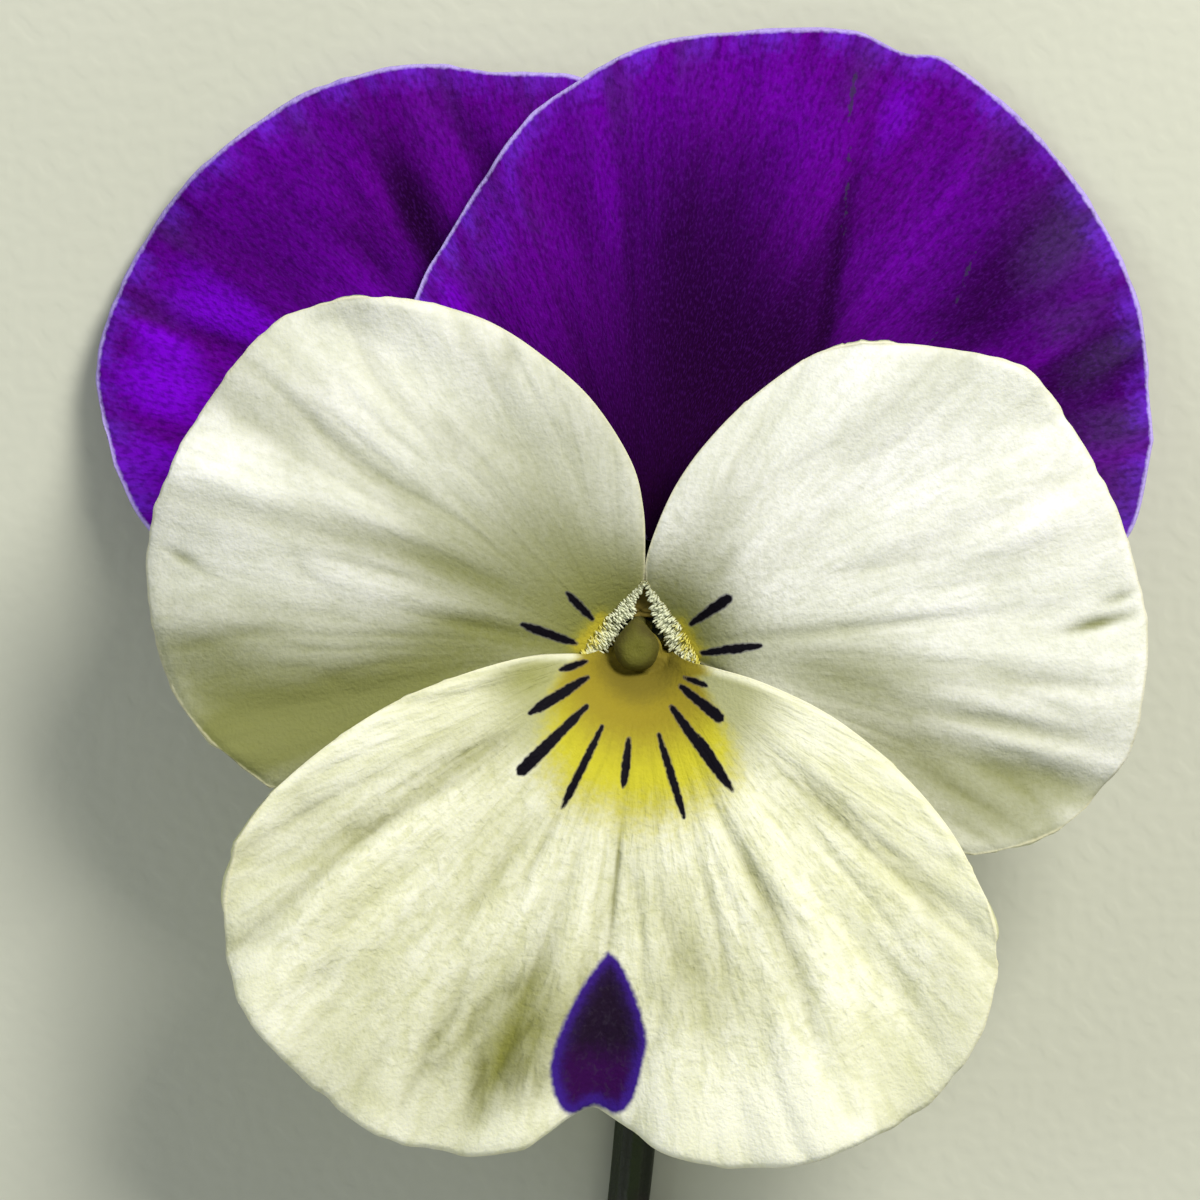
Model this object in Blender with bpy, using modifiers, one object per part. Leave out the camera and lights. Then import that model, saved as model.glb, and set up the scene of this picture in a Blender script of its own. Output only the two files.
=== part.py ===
"""Horned violet: one cut bloom that lies on its back on a surface, face up, its stalk along the surface.

Axes: +Z is up, out of the flower's face, and +Y points to the top of the bloom.
The origin is on the surface, right under the middle of the throat. Lengths are in millimetres until
they become points, which are in metres.
"""
import math
from collections import namedtuple

import bmesh
import bpy
import numpy as np
from mathutils import Vector

MM = 0.001
OBJECT_NAME = "horned_violet"

# Petals: thickness of a blade, and the rows and columns of the grid that it is made from
BLADE_THICKNESS = 0.6
PETAL_COLUMNS = 24
LOWER_COLUMNS = 28
BLADE_ROWS = 14
SPUR_ROWS = 9
SPUR_ROW_SPREAD = 1.35

# A claw is a short tapered column, wider across the petal than it is thick
CLAW_SIDES = 8
CLAW_RADIUS = 0.38
CLAW_TAPER = 0.7
CLAW_BREADTH = 1.4

# Heights of the petals' front faces above the surface
UPPER_HEIGHT = 6.5
UPPER_LEAN = 0.235
UPPER_DROOP = 0.0105
UPPER_LEAN_START = 2.0
UPPER_STAGGER = 0.62
OVERLAP_ENDS = (11.0, 4.0)
SIDE_HEIGHT = 8.65
SIDE_RISE = 1.3
THROAT_RADIUS = 1.0
SIDE_FUNNEL_DEPTH = 2.2
SIDE_FUNNEL_REACH = 1.8
LOWER_HEIGHT = 9.95
LOWER_FUNNEL_DEPTH = 3.75
LOWER_FUNNEL_REACH = 1.55

# The spur: a hollow horn that runs back from its mouth in the throat, beside the stalk
SPUR_MOUTH = (0.0, -1.6, 6.2)
SPUR_BEND = (0.0, -1.7, 3.2)
SPUR_TIP = (-2.1, -7.4, 1.75)
SPUR_MOUTH_RADIUS = 0.95
SPUR_TIP_RADIUS = 0.5
SPUR_TIP_START = 0.84

# The stalk, its hook and the receptacle at its end
STALK_RADIUS = 0.7
STALK_AXIS_HEIGHT = 0.66
STALK_CUT_Y = -48.0
STALK_ROUTE = ((0.9, STALK_CUT_Y), (0.4, -41.0), (-0.7, -33.0), (-0.9, -25.0), (-0.15, -17.0), (0.45, -10.0),
               (0.75, -5.0), (0.4, -1.5))
HOOK_START_Y = 0.36
HOOK_RADIUS = 2.0
HOOK_TURN = 125.0
RECEPTACLE_CENTRE = (0.0, 2.0, 3.8)
RECEPTACLE_RADIUS = 2.1
RECEPTACLE_HALF_HEIGHT = 0.8
BRACT_X = -0.9
BRACT_Y = -28.0
BRACT_LENGTH = 4.5
BRACT_WIDTH = 0.9
BRACT_TIP_RADIUS = 0.12
STALK_STEPS = 26
HOOK_STEPS = 9

# The middle of the bloom
CONE_FOOT = (0.0, 2.0, 4.9)
STIGMA_CENTRE = (-0.1, 0.05, 7.6)
STIGMA_RADIUS = 0.68
OVARY_RADIUS = 0.34
OVARY_HALF_HEIGHT = 0.75
STYLE_RADIUS = 0.2
STYLE_BEND = (6.0, 7.2)
ANTHER_COUNT = 5
ANTHER_CONE_INNER_RADIUS = 0.62
ANTHER_CONE_NARROWING = 0.1
ANTHER_CONE_LENGTH = 1.4
ANTHER_WALL = 0.26

# Sepals: length in front of the receptacle and flap behind it
SEPAL_LENGTH = 8.5
SEPAL_WIDTH = 2.3
SEPAL_FLAP = 1.9
SEPAL_THICKNESS = 0.6
SEPAL_SEAT_RADIUS = 2.4
SEPAL_ROWS = 14
SEPAL_COLUMNS = 4
# Each sepal's direction round the receptacle in degrees, and its height where it bends out and at its tip
SEPALS = {
    "sepal_top": (93.0, 3.95, 2.3),
    "sepal_side_left": (158.0, 3.95, 3.2),
    "sepal_side_right": (24.0, 4.1, 3.4),
    "sepal_low_left": (222.0, 4.6, 6.0),
    "sepal_low_right": (-42.0, 4.6, 6.0),
}

# A petal seen from in front: its edges run from the claw to the two corners of the margin, left and right
# as seen from the claw. claw holds the foot and the top of the short claw that carries the blade.
# waves are (waves across the petal, height, phase in turns) of the folds along its veins, and curl is how
# far the margin bends back.
Petal = namedtuple("Petal", "left_edge margin right_edge claw waves curl")

PETALS = {
    "petal_upper_left": Petal(
        left_edge=((-2.3, 3.3), (-4.4, 2.0), (-7.4, 1.3), (-10.8, 1.3), (-14.2, 2.2), (-16.5, 4.1),
                   (-17.6, 6.1)),
        margin=((-17.6, 6.1), (-18.3, 9.3), (-17.4, 12.5), (-15.3, 15.7), (-12.2, 18.2), (-9.9, 19.2),
                (-7.3, 19.7), (-4.6, 19.4), (-1.9, 19.2), (0.6, 17.8), (2.2, 15.0)),
        right_edge=((-0.6, 4.3), (0.9, 5.4), (2.1, 7.2), (2.8, 9.6), (2.9, 12.2), (2.2, 15.0)),
        claw=((-1.1, 3.3, 4.62), (-1.35, 3.75, 5.1)),
        waves=((3, 0.18, 0.1), (5, 0.14, 0.4)),
        curl=0.0,
    ),
    "petal_upper_right": Petal(
        left_edge=((0.1, 3.7), (-1.2, 4.3), (-3.3, 5.5), (-5.6, 7.5), (-7.1, 9.5), (-7.5, 11.6)),
        margin=((-7.5, 11.6), (-6.7, 13.3), (-4.0, 17.4), (-1.9, 19.1), (0.2, 20.2), (2.9, 20.7),
                (7.0, 20.8), (8.9, 20.1), (10.7, 19.7), (14.4, 16.3), (16.8, 11.8), (17.3, 7.0)),
        right_edge=((1.8, 3.2), (3.4, 2.7), (6.3, 1.8), (10.2, 1.3), (14.0, 1.9), (16.4, 3.8),
                    (17.3, 7.0)),
        claw=((1.1, 3.4, 4.62), (1.1, 3.9, 6.4)),
        waves=((3, 0.18, 0.6), (6, 0.12, 0.2)),
        curl=0.15,
    ),
    "petal_side_left": Petal(
        left_edge=((-1.5, 0.1), (-2.8, -0.5), (-4.6, -1.9), (-7.0, -3.7), (-9.7, -4.7), (-12.1, -4.5)),
        margin=((-12.1, -4.5), (-14.1, -2.9), (-15.5, -0.8), (-16.1, 2.9), (-15.0, 6.5), (-12.3, 10.3),
                (-10.2, 11.3), (-8.4, 11.5), (-6.7, 11.3)),
        right_edge=((0.0, 2.8), (0.0, 4.2), (-0.5, 6.4), (-1.7, 8.2), (-3.3, 9.7), (-4.9, 10.7),
                    (-6.7, 11.3)),
        claw=((-1.6, 1.75, 4.68), (-1.4, 1.6, 6.85)),
        waves=((2, 0.22, 0.3), (5, 0.15, 0.75)),
        curl=0.5,
    ),
    "petal_side_right": Petal(
        left_edge=((0.42, 2.8), (0.55, 3.9), (1.0, 4.9), (2.1, 6.8), (3.6, 8.2), (5.6, 9.6), (7.2, 10.0)),
        margin=((7.2, 10.0), (9.4, 9.9), (11.9, 9.4), (13.3, 8.4), (15.4, 4.9), (16.5, 1.3), (16.5, -1.0),
                (16.1, -3.1), (15.3, -4.4), (14.0, -5.7), (12.4, -6.4), (10.9, -6.7)),
        right_edge=((1.6, 0.0), (3.0, -0.9), (4.2, -2.4), (5.8, -4.5), (8.1, -6.2), (10.9, -6.7)),
        claw=((1.6, 1.75, 4.68), (1.45, 1.6, 6.85)),
        waves=((2, 0.22, 0.05), (4, 0.16, 0.5)),
        curl=0.5,
    ),
    "petal_lower": Petal(
        left_edge=((0.0, -0.65), (1.1, -0.45), (2.1, -0.35), (4.1, -1.0), (6.3, -2.2), (8.4, -3.9),
                   (10.1, -5.9), (11.2, -8.0)),
        margin=((11.2, -8.0), (11.6, -9.9), (11.2, -12.2), (10.0, -14.2), (7.8, -15.8), (5.2, -16.8),
                (2.9, -16.9), (0.8, -16.4), (-0.6, -15.2), (-1.4, -14.7), (-2.2, -15.2), (-3.7, -16.2),
                (-5.5, -16.5), (-7.0, -16.3), (-8.4, -15.8), (-9.7, -15.0), (-11.0, -13.9), (-12.7, -12.0),
                (-13.4, -10.1), (-13.5, -8.3), (-13.1, -6.3)),
        right_edge=((0.0, -0.65), (-1.1, -0.4), (-1.9, -0.15), (-3.6, -0.2), (-5.5, -0.7), (-7.8, -1.6),
                    (-9.9, -2.9), (-11.9, -4.6), (-13.1, -6.3)),
        claw=((0.0, 0.35, 4.68), (0.0, -0.35, 5.9)),
        waves=((4, 0.2, 0.0), (7, 0.16, 0.3)),
        curl=1.1,
    ),
}

COLOURS = {
    "petal_upper_left": (0.10, 0.0, 0.30),
    "petal_upper_right": (0.12, 0.0, 0.34),
    "petal_side_left": (0.78, 0.79, 0.62),
    "petal_side_right": (0.86, 0.87, 0.72),
    "petal_lower": (0.84, 0.85, 0.50),
    "stem": (0.07, 0.14, 0.03),
    "pistil": (0.22, 0.25, 0.03),
    "anther_cone": (0.45, 0.22, 0.04),
}
SEPAL_COLOUR = (0.10, 0.22, 0.04)


def clear_scene():
    """Removes whatever the scene holds."""
    for old in list(bpy.data.objects):
        bpy.data.objects.remove(old, do_unlink=True)


def new_collection(name):
    """A collection that is linked to the scene."""
    collection = bpy.data.collections.new(name)
    bpy.context.scene.collection.children.link(collection)
    return collection


def plain_material(name, colour, roughness):
    """A Principled material of one colour."""
    material = bpy.data.materials.new(name)
    material.use_nodes = True
    shader = material.node_tree.nodes["Principled BSDF"]
    shader.inputs["Base Color"].default_value = (*colour, 1.0)
    shader.inputs["Roughness"].default_value = roughness
    shader.inputs["Metallic"].default_value = 0.0
    return material


def smoothstep(start, end, value):
    """A soft step from 0 at start to 1 at end."""
    share = np.clip((value - start) / (end - start), 0.0, 1.0)
    return share * share * (3.0 - 2.0 * share)


class SmoothLine:
    """A smooth curve through points, read by the share of its length."""

    STEPS = 16

    def __init__(self, points):
        points = np.array(points, float)
        padded = np.vstack([2 * points[0] - points[1], points, 2 * points[-1] - points[-2]])
        dense = [points[0]]
        for index in range(1, len(padded) - 2):
            before, start, end, after = padded[index - 1:index + 3]
            for step in range(1, self.STEPS + 1):
                t = step / self.STEPS
                dense.append(0.5 * (2 * start + (end - before) * t
                                    + (2 * before - 5 * start + 4 * end - after) * t ** 2
                                    + (3 * start - before - 3 * end + after) * t ** 3))
        self.dense = np.array(dense)
        lengths = np.linalg.norm(np.diff(self.dense, axis=0), axis=1)
        self.reach = np.concatenate([[0.0], np.cumsum(lengths)]) / lengths.sum()

    def at(self, share):
        """The point at a share of the length, from 0 to 1."""
        return np.array([np.interp(share, self.reach, axis) for axis in self.dense.T])


def mesh_object(name, work, collection):
    """An object made from a finished bmesh, which is freed."""
    mesh = bpy.data.meshes.new(name)
    work.to_mesh(mesh)
    work.free()
    mesh.shade_smooth()
    piece = bpy.data.objects.new(name, mesh)
    collection.objects.link(piece)
    return piece


def grid_sheet(name, columns, rows, place, collection, weld=False):
    """An open sheet: a grid primitive whose points are moved to place(across, along), both from 0 to 1."""
    sheet = bmesh.new()
    bmesh.ops.create_grid(sheet, x_segments=columns, y_segments=rows, size=0.5)
    for vertex in sheet.verts:
        across = min(max(vertex.co.x + 0.5, 0.0), 1.0)
        along = min(max(vertex.co.y + 0.5, 0.0), 1.0)
        vertex.co = Vector([float(value) * MM for value in place(across, along)])
    if weld:
        bmesh.ops.remove_doubles(sheet, verts=sheet.verts, dist=0.00002)
    bmesh.ops.triangulate(sheet, faces=sheet.faces)
    return mesh_object(name, sheet, collection)


def thicken(piece, thickness):
    """Gives an open sheet its wall, behind its front face."""
    wall = piece.modifiers.new("wall", "SOLIDIFY")
    wall.thickness = thickness * MM
    wall.offset = -1.0
    wall.use_rim = True


def blade_plan(petal, inner_end, across, along):
    """The plan position on a petal: a patch between its inner end, its two edges and its margin."""
    left = petal["left_edge"].at(along)
    right = petal["right_edge"].at(along)
    margin = petal["margin"].at(across)
    corners = ((1 - along) * ((1 - across) * inner_end(0.0) + across * inner_end(1.0))
               + along * ((1 - across) * petal["margin"].at(0.0) + across * petal["margin"].at(1.0)))
    return (1 - across) * left + across * right + (1 - along) * inner_end(across) + along * margin - corners


def soft_folds(design, across, along):
    """Height of the folds that fan out along the veins and grow towards the margin, which curls back."""
    folds = sum(height * math.sin(2 * math.pi * (count * across + phase))
                for count, height, phase in design.waves)
    return along ** 2 * folds - design.curl * along ** 4 * math.sin(math.pi * across)


def upper_height(x, y, stagger):
    """Front face of the upper petals, which lean back until their margins reach the surface."""
    overlap = smoothstep(*OVERLAP_ENDS, stagger * x)
    return (UPPER_HEIGHT - UPPER_LEAN * (y - UPPER_LEAN_START) - UPPER_DROOP * x * x
            + stagger * UPPER_STAGGER * overlap)


def side_height(x, y):
    """Front face of a side petal: nearly level, cupped at its outer end and drawn down into the throat."""
    throat = max(math.hypot(x, y + 0.3) - THROAT_RADIUS, 0.0)
    rise = SIDE_RISE * smoothstep(-2.0, 9.0, y) * smoothstep(3.0, 14.0, abs(x))
    return SIDE_HEIGHT + rise - SIDE_FUNNEL_DEPTH / (1.0 + (throat / SIDE_FUNNEL_REACH) ** 2)


def lower_height(x, y):
    """Front face of the lower petal, a funnel that ends in the spur's mouth."""
    away = max(math.hypot(x - SPUR_MOUTH[0], y - SPUR_MOUTH[1]) - SPUR_MOUTH_RADIUS, 0.0)
    return LOWER_HEIGHT - LOWER_FUNNEL_DEPTH * math.exp(-away / LOWER_FUNNEL_REACH)


def front_height(name, x, y):
    """Height of a petal's front face over a plan position."""
    if name == "petal_upper_left":
        return upper_height(x, y, -1.0)
    if name == "petal_upper_right":
        return upper_height(x, y, 1.0)
    if name == "petal_lower":
        return lower_height(x, y)
    return side_height(x, y)


def add_claw(piece, claw, guides):
    """Grows a short claw from under a petal's blade down to the receptacle."""
    if not claw:
        return
    foot, top = np.array(claw, float)
    outward = np.array([top[0] - RECEPTACLE_CENTRE[0], top[1] - RECEPTACLE_CENTRE[1], 0.0])
    outward = outward / np.linalg.norm(outward)
    sideways = np.array([-outward[1], outward[0], 0.0])
    work = bmesh.new()
    bmesh.ops.create_cone(work, cap_ends=True, segments=CLAW_SIDES, radius1=CLAW_RADIUS,
                          radius2=CLAW_RADIUS * CLAW_TAPER, depth=1.0)
    for vertex in work.verts:
        share = vertex.co.z + 0.5
        place = foot + (top - foot) * share + sideways * vertex.co.x * CLAW_BREADTH + outward * vertex.co.y
        vertex.co = Vector(place.tolist()) * MM
    bmesh.ops.recalc_face_normals(work, faces=work.faces)
    guide = mesh_object(piece.name + "_claw", work, guides)
    guide.hide_render = True
    guide.display_type = "WIRE"
    grow = piece.modifiers.new("claw", "BOOLEAN")
    grow.operation = "UNION"
    grow.object = guide


def build_petal(name, collection, guides):
    """An upper or side petal: one waved blade on its claw."""
    design = PETALS[name]
    petal = {"left_edge": SmoothLine(design.left_edge), "margin": SmoothLine(design.margin),
             "right_edge": SmoothLine(design.right_edge)}
    throat_ends = np.array([design.left_edge[0], design.right_edge[0]], float)

    def inner_end(across):
        return throat_ends[0] * (1 - across) + throat_ends[1] * across

    def place(across, along):
        x, y = blade_plan(petal, inner_end, across, along)
        return x, y, front_height(name, x, y) + soft_folds(design, across, along)

    piece = grid_sheet(name, PETAL_COLUMNS, BLADE_ROWS, place, collection)
    thicken(piece, BLADE_THICKNESS)
    add_claw(piece, design.claw, guides)
    return piece


def spur_ring(across, down):
    """A point on the spur's inner wall: across goes once round it, down goes from its mouth to its tip."""
    mouth, bend, tip = (np.array(point) for point in (SPUR_MOUTH, SPUR_BEND, SPUR_TIP))
    centre = (1 - down) ** 2 * mouth + 2 * (1 - down) * down * bend + down ** 2 * tip
    heading = 2 * (1 - down) * (bend - mouth) + 2 * down * (tip - bend)
    heading = heading / np.linalg.norm(heading)
    level = np.array([1.0, 0.0, 0.0])
    sideways = level - heading * level.dot(heading)
    sideways = sideways / np.linalg.norm(sideways)
    upward = np.cross(sideways, heading)
    radius = SPUR_MOUTH_RADIUS + (SPUR_TIP_RADIUS - SPUR_MOUTH_RADIUS) * down
    radius = radius * math.sqrt(max(1.0 - smoothstep(SPUR_TIP_START, 1.0, down) ** 2, 0.0))
    angle = math.pi / 2 - 2 * math.pi * across
    return centre + radius * (math.cos(angle) * sideways + math.sin(angle) * upward)


def build_lower_petal(name, collection, guides):
    """The lower petal: a blade whose claw is rolled into the hollow spur."""
    design = PETALS[name]
    petal = {"left_edge": SmoothLine(design.left_edge), "margin": SmoothLine(design.margin),
             "right_edge": SmoothLine(design.right_edge)}
    rows = BLADE_ROWS + SPUR_ROWS

    def inner_end(across):
        return spur_ring(across, 0.0)[:2]

    def place(across, along):
        row = along * rows
        if row <= SPUR_ROWS:
            return spur_ring(across, 1.0 - row / SPUR_ROWS)
        blade = ((row - SPUR_ROWS) / BLADE_ROWS) ** SPUR_ROW_SPREAD
        x, y = blade_plan(petal, inner_end, across, blade)
        return x, y, front_height(name, x, y) + soft_folds(design, across, blade)

    piece = grid_sheet(name, LOWER_COLUMNS, rows, place, collection, weld=True)
    thicken(piece, BLADE_THICKNESS)
    add_claw(piece, design.claw, guides)
    return piece


def mesh_copy(curve_piece, name, collection):
    """A mesh object made from a curve object, its caps welded; the curve is removed."""
    evaluated = curve_piece.evaluated_get(bpy.context.evaluated_depsgraph_get())
    work = bmesh.new()
    work.from_mesh(bpy.data.meshes.new_from_object(evaluated))
    bmesh.ops.remove_doubles(work, verts=work.verts, dist=0.00001)
    bmesh.ops.recalc_face_normals(work, faces=work.faces)
    piece = mesh_object(name, work, collection)
    piece.matrix_world = curve_piece.matrix_world.copy()
    bpy.data.objects.remove(curve_piece, do_unlink=True)
    return piece


def stalk_points():
    """The middle line of the stalk: along the surface, then up and over into the receptacle."""
    route = SmoothLine(STALK_ROUTE + ((0.05, HOOK_START_Y - 1.0), (0.0, HOOK_START_Y)))
    points = []
    for step in range(STALK_STEPS + 1):
        x, y = route.at(step / STALK_STEPS)
        points.append((x, y, STALK_AXIS_HEIGHT))
    centre_height = STALK_AXIS_HEIGHT + HOOK_RADIUS
    for step in range(1, HOOK_STEPS + 1):
        turn = math.radians(HOOK_TURN) * step / HOOK_STEPS
        points.append((0.0, HOOK_START_Y + HOOK_RADIUS * math.sin(turn),
                       centre_height - HOOK_RADIUS * math.cos(turn)))
    return points


def build_stalk(collection):
    """The stalk's round tube, from its cut end to the receptacle."""
    curve = bpy.data.curves.new("stalk", "CURVE")
    curve.dimensions = "3D"
    curve.bevel_depth = STALK_RADIUS * MM
    curve.bevel_resolution = 4
    curve.use_fill_caps = True
    points = stalk_points()
    spline = curve.splines.new("POLY")
    spline.points.add(len(points) - 1)
    for target, point in zip(spline.points, points):
        target.co = (*[value * MM for value in point], 1.0)
    line = bpy.data.objects.new("stalk", curve)
    collection.objects.link(line)
    return mesh_copy(line, "stem", collection)


def build_receptacle(growths):
    """The squat round end of the stalk that carries sepals and petals."""
    work = bmesh.new()
    bmesh.ops.create_uvsphere(work, u_segments=20, v_segments=10, radius=RECEPTACLE_RADIUS * MM)
    bmesh.ops.scale(work, vec=(1.0, 1.0, RECEPTACLE_HALF_HEIGHT / RECEPTACLE_RADIUS), verts=work.verts)
    bmesh.ops.translate(work, vec=Vector(RECEPTACLE_CENTRE) * MM, verts=work.verts)
    mesh_object("receptacle", work, growths)


def build_bract(side, growths):
    """One of the two small bracts, a pointed scale that leans away from the stalk."""
    work = bmesh.new()
    bmesh.ops.create_cone(work, cap_ends=True, segments=6, radius1=BRACT_WIDTH / 2,
                          radius2=BRACT_TIP_RADIUS, depth=BRACT_LENGTH)
    for vertex in work.verts:
        along = vertex.co.z + BRACT_LENGTH / 2
        lean = side * (0.35 + 0.16 * along + 0.05 * along ** 2)
        vertex.co = Vector((BRACT_X + lean + vertex.co.x, BRACT_Y + side * 0.5 + along,
                            STALK_AXIS_HEIGHT + 0.05 * along + vertex.co.y * 0.75)) * MM
    mesh_object("bract", work, growths)


def build_stem(collection):
    """The stalk with its hook, receptacle and two small bracts, grown together, with a flat underside."""
    stem = build_stalk(collection)
    growths = new_collection("growths")
    build_receptacle(growths)
    for side in (-1.0, 1.0):
        build_bract(side, growths)
    grow = stem.modifiers.new("grown_together", "BOOLEAN")
    grow.operation = "UNION"
    grow.operand_type = "COLLECTION"
    grow.collection = growths
    work = bmesh.new()
    evaluated = stem.evaluated_get(bpy.context.evaluated_depsgraph_get())
    work.from_mesh(bpy.data.meshes.new_from_object(evaluated))
    stem.modifiers.clear()
    for growth in list(growths.objects):
        bpy.data.objects.remove(growth, do_unlink=True)
    bpy.data.collections.remove(growths)

    everything = work.verts[:] + work.edges[:] + work.faces[:]
    cut = bmesh.ops.bisect_plane(work, geom=everything, plane_co=(0.0, 0.0, 0.0), plane_no=(0.0, 0.0, -1.0),
                                 clear_outer=True)
    rim = [edge for edge in cut["geom_cut"] if isinstance(edge, bmesh.types.BMEdge)]
    bmesh.ops.holes_fill(work, edges=rim)
    bmesh.ops.triangulate(work, faces=work.faces)
    work.to_mesh(stem.data)
    work.free()
    stem.data.shade_smooth()
    stem.data.set_sharp_from_angle(angle=math.radians(50))
    return stem


def level_ring(height, across, radius):
    """A point on a level ring round the bent middle line that runs from the receptacle to the stigma."""
    foot, head = np.array(CONE_FOOT), np.array(STIGMA_CENTRE)
    bend = smoothstep(*STYLE_BEND, height)
    angle = 2 * math.pi * across
    x, y = foot[:2] * (1 - bend) + head[:2] * bend
    return x + radius * math.cos(angle), y + radius * math.sin(angle), height


def build_pistil(collection):
    """Ovary, style and round stigma head, turned about the bent middle line."""
    foot = CONE_FOOT[2]
    length = STIGMA_CENTRE[2] + STIGMA_RADIUS - foot

    def radius(height):
        ovary = OVARY_RADIUS * math.sqrt(max(1.0 - (height / OVARY_HALF_HEIGHT - 1.0) ** 2, 0.0))
        head = (height + STIGMA_RADIUS - length) / STIGMA_RADIUS
        ball = STIGMA_RADIUS * math.sqrt(max(1.0 - head ** 2, 0.0))
        ends = smoothstep(0.0, 0.12, height) * smoothstep(length, length - 0.05, height)
        return max(ovary, ball, STYLE_RADIUS * ends)

    def place(across, along):
        height = length * (0.5 - 0.5 * math.cos(math.pi * along))
        return level_ring(foot + height, across, radius(height))

    return grid_sheet("pistil", 14, 18, place, collection, weld=True)


def build_anther_cone(collection):
    """Five anthers that stand side by side in a cone round the ovary."""

    def place(across, along):
        lobe = abs(math.cos(math.pi * ANTHER_COUNT * across))
        radius = ANTHER_CONE_INNER_RADIUS - ANTHER_CONE_NARROWING * along ** 2 + 0.05 * lobe
        height = ANTHER_CONE_LENGTH * along * (0.88 + 0.12 * lobe)
        return level_ring(CONE_FOOT[2] + height, across, radius)

    piece = grid_sheet("anther_cone", 30, 6, place, collection, weld=True)
    wall = piece.modifiers.new("wall", "SOLIDIFY")
    wall.thickness = ANTHER_WALL * MM
    wall.offset = 1.0
    return piece


def build_sepal(name, direction, bend_height, tip_height, collection):
    """One narrow pointed sepal: a flap behind the receptacle, then a blade that bends outwards."""
    heading = math.radians(direction)
    outward = np.array([math.cos(heading), math.sin(heading), 0.0])
    sideways = np.array([outward[1], -outward[0], 0.0])
    middle = np.array([RECEPTACLE_CENTRE[0], RECEPTACLE_CENTRE[1], 0.0])
    seat_height = RECEPTACLE_CENTRE[2]
    line = SmoothLine(((SEPAL_SEAT_RADIUS + 0.6, seat_height - SEPAL_FLAP),
                       (SEPAL_SEAT_RADIUS + 0.1, seat_height - 0.9),
                       (SEPAL_SEAT_RADIUS, seat_height - 0.25),
                       (SEPAL_SEAT_RADIUS + 0.9, bend_height),
                       (SEPAL_SEAT_RADIUS + 4.0, 0.6 * bend_height + 0.4 * tip_height),
                       (SEPAL_SEAT_RADIUS + SEPAL_LENGTH - 1.5, tip_height)))

    def place(across, along):
        radial, height = line.at(along)
        flap = 0.62 + 0.38 * smoothstep(0.1, 0.25, along)
        taper = (1.0 - smoothstep(0.35, 1.0, along) * 0.86) * flap
        offset = (across - 0.5) * SEPAL_WIDTH * taper
        groove = 0.1 * (2 * abs(across - 0.5)) ** 2
        return middle + outward * radial + sideways * offset + np.array([0.0, 0.0, height + groove * taper])

    piece = grid_sheet(name, SEPAL_COLUMNS, SEPAL_ROWS, place, collection)
    thicken(piece, SEPAL_THICKNESS)
    return piece


def main():
    """Builds the bloom."""
    clear_scene()
    collection = new_collection(OBJECT_NAME)
    guides = new_collection("guides")
    pieces = [build_stem(collection)]
    for name in ("petal_upper_left", "petal_upper_right", "petal_side_left", "petal_side_right"):
        pieces.append(build_petal(name, collection, guides))
    pieces.append(build_lower_petal("petal_lower", collection, guides))
    for name, (direction, bend_height, tip_height) in SEPALS.items():
        pieces.append(build_sepal(name, direction, bend_height, tip_height, collection))
    pieces.append(build_pistil(collection))
    pieces.append(build_anther_cone(collection))
    for piece in pieces:
        colour = COLOURS.get(piece.name, SEPAL_COLOUR)
        piece.data.materials.clear()
        piece.data.materials.append(plain_material(piece.name + "_tissue", colour, 0.6))


main()
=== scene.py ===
"""Horned violet, dressed: the looks of one cut bloom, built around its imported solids.

The bloom lies on its back on a pale floor, face up, and the camera looks straight down into its face.
Axes are those of the solids: +Z out of the face, +Y to the top of the bloom. Shapes are worked out in
millimetres and turned to metres when a mesh gets its points.
"""
from __future__ import annotations

import logging
import math
from dataclasses import dataclass, field
from enum import Enum
from typing import Callable, Optional, Sequence

import bpy
import numpy as np
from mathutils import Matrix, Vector


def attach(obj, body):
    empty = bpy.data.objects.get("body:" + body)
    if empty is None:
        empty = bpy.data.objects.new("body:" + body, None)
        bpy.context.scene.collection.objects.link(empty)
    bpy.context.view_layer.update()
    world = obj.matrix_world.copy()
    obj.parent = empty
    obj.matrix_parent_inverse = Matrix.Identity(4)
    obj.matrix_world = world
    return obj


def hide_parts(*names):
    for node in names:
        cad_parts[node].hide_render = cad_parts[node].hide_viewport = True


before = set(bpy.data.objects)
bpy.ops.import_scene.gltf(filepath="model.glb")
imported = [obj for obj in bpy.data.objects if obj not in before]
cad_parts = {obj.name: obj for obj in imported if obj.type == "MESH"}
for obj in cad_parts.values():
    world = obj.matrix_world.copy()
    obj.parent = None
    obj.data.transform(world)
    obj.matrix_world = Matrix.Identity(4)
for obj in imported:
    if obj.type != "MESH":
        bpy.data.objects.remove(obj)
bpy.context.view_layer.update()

LOG = logging.getLogger("horned_violet")
BODY = "root"
MM = 0.001              # a millimetre in metres
SEAM = 0.002 * MM       # points nearer than this are one
FAR_INSIDE = 5.0        # what a measure reads well away from its border
NOISE_CELLS = 128       # cells of the height noise before it repeats
MIDDLE_Y = -0.3         # where the middle of the bloom lies along Y

Array = np.ndarray
Piece = bpy.types.Object
Tree = bpy.types.NodeTree
Socket = bpy.types.NodeSocket
Point = tuple[float, float]
Spot = tuple[float, float, float]
Outline = tuple[Point, ...]


class Slot(Enum):
    """Material slots of the record."""

    PURPLE_PETAL = "purple_petal"
    CREAM_PETAL = "cream_petal"
    LOWER_PETAL = "lower_petal"
    GREEN_STEM = "green_stem"
    GREEN_SEPAL = "green_sepal"
    PISTIL = "pistil"
    ANTHER = "anther"


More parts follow.
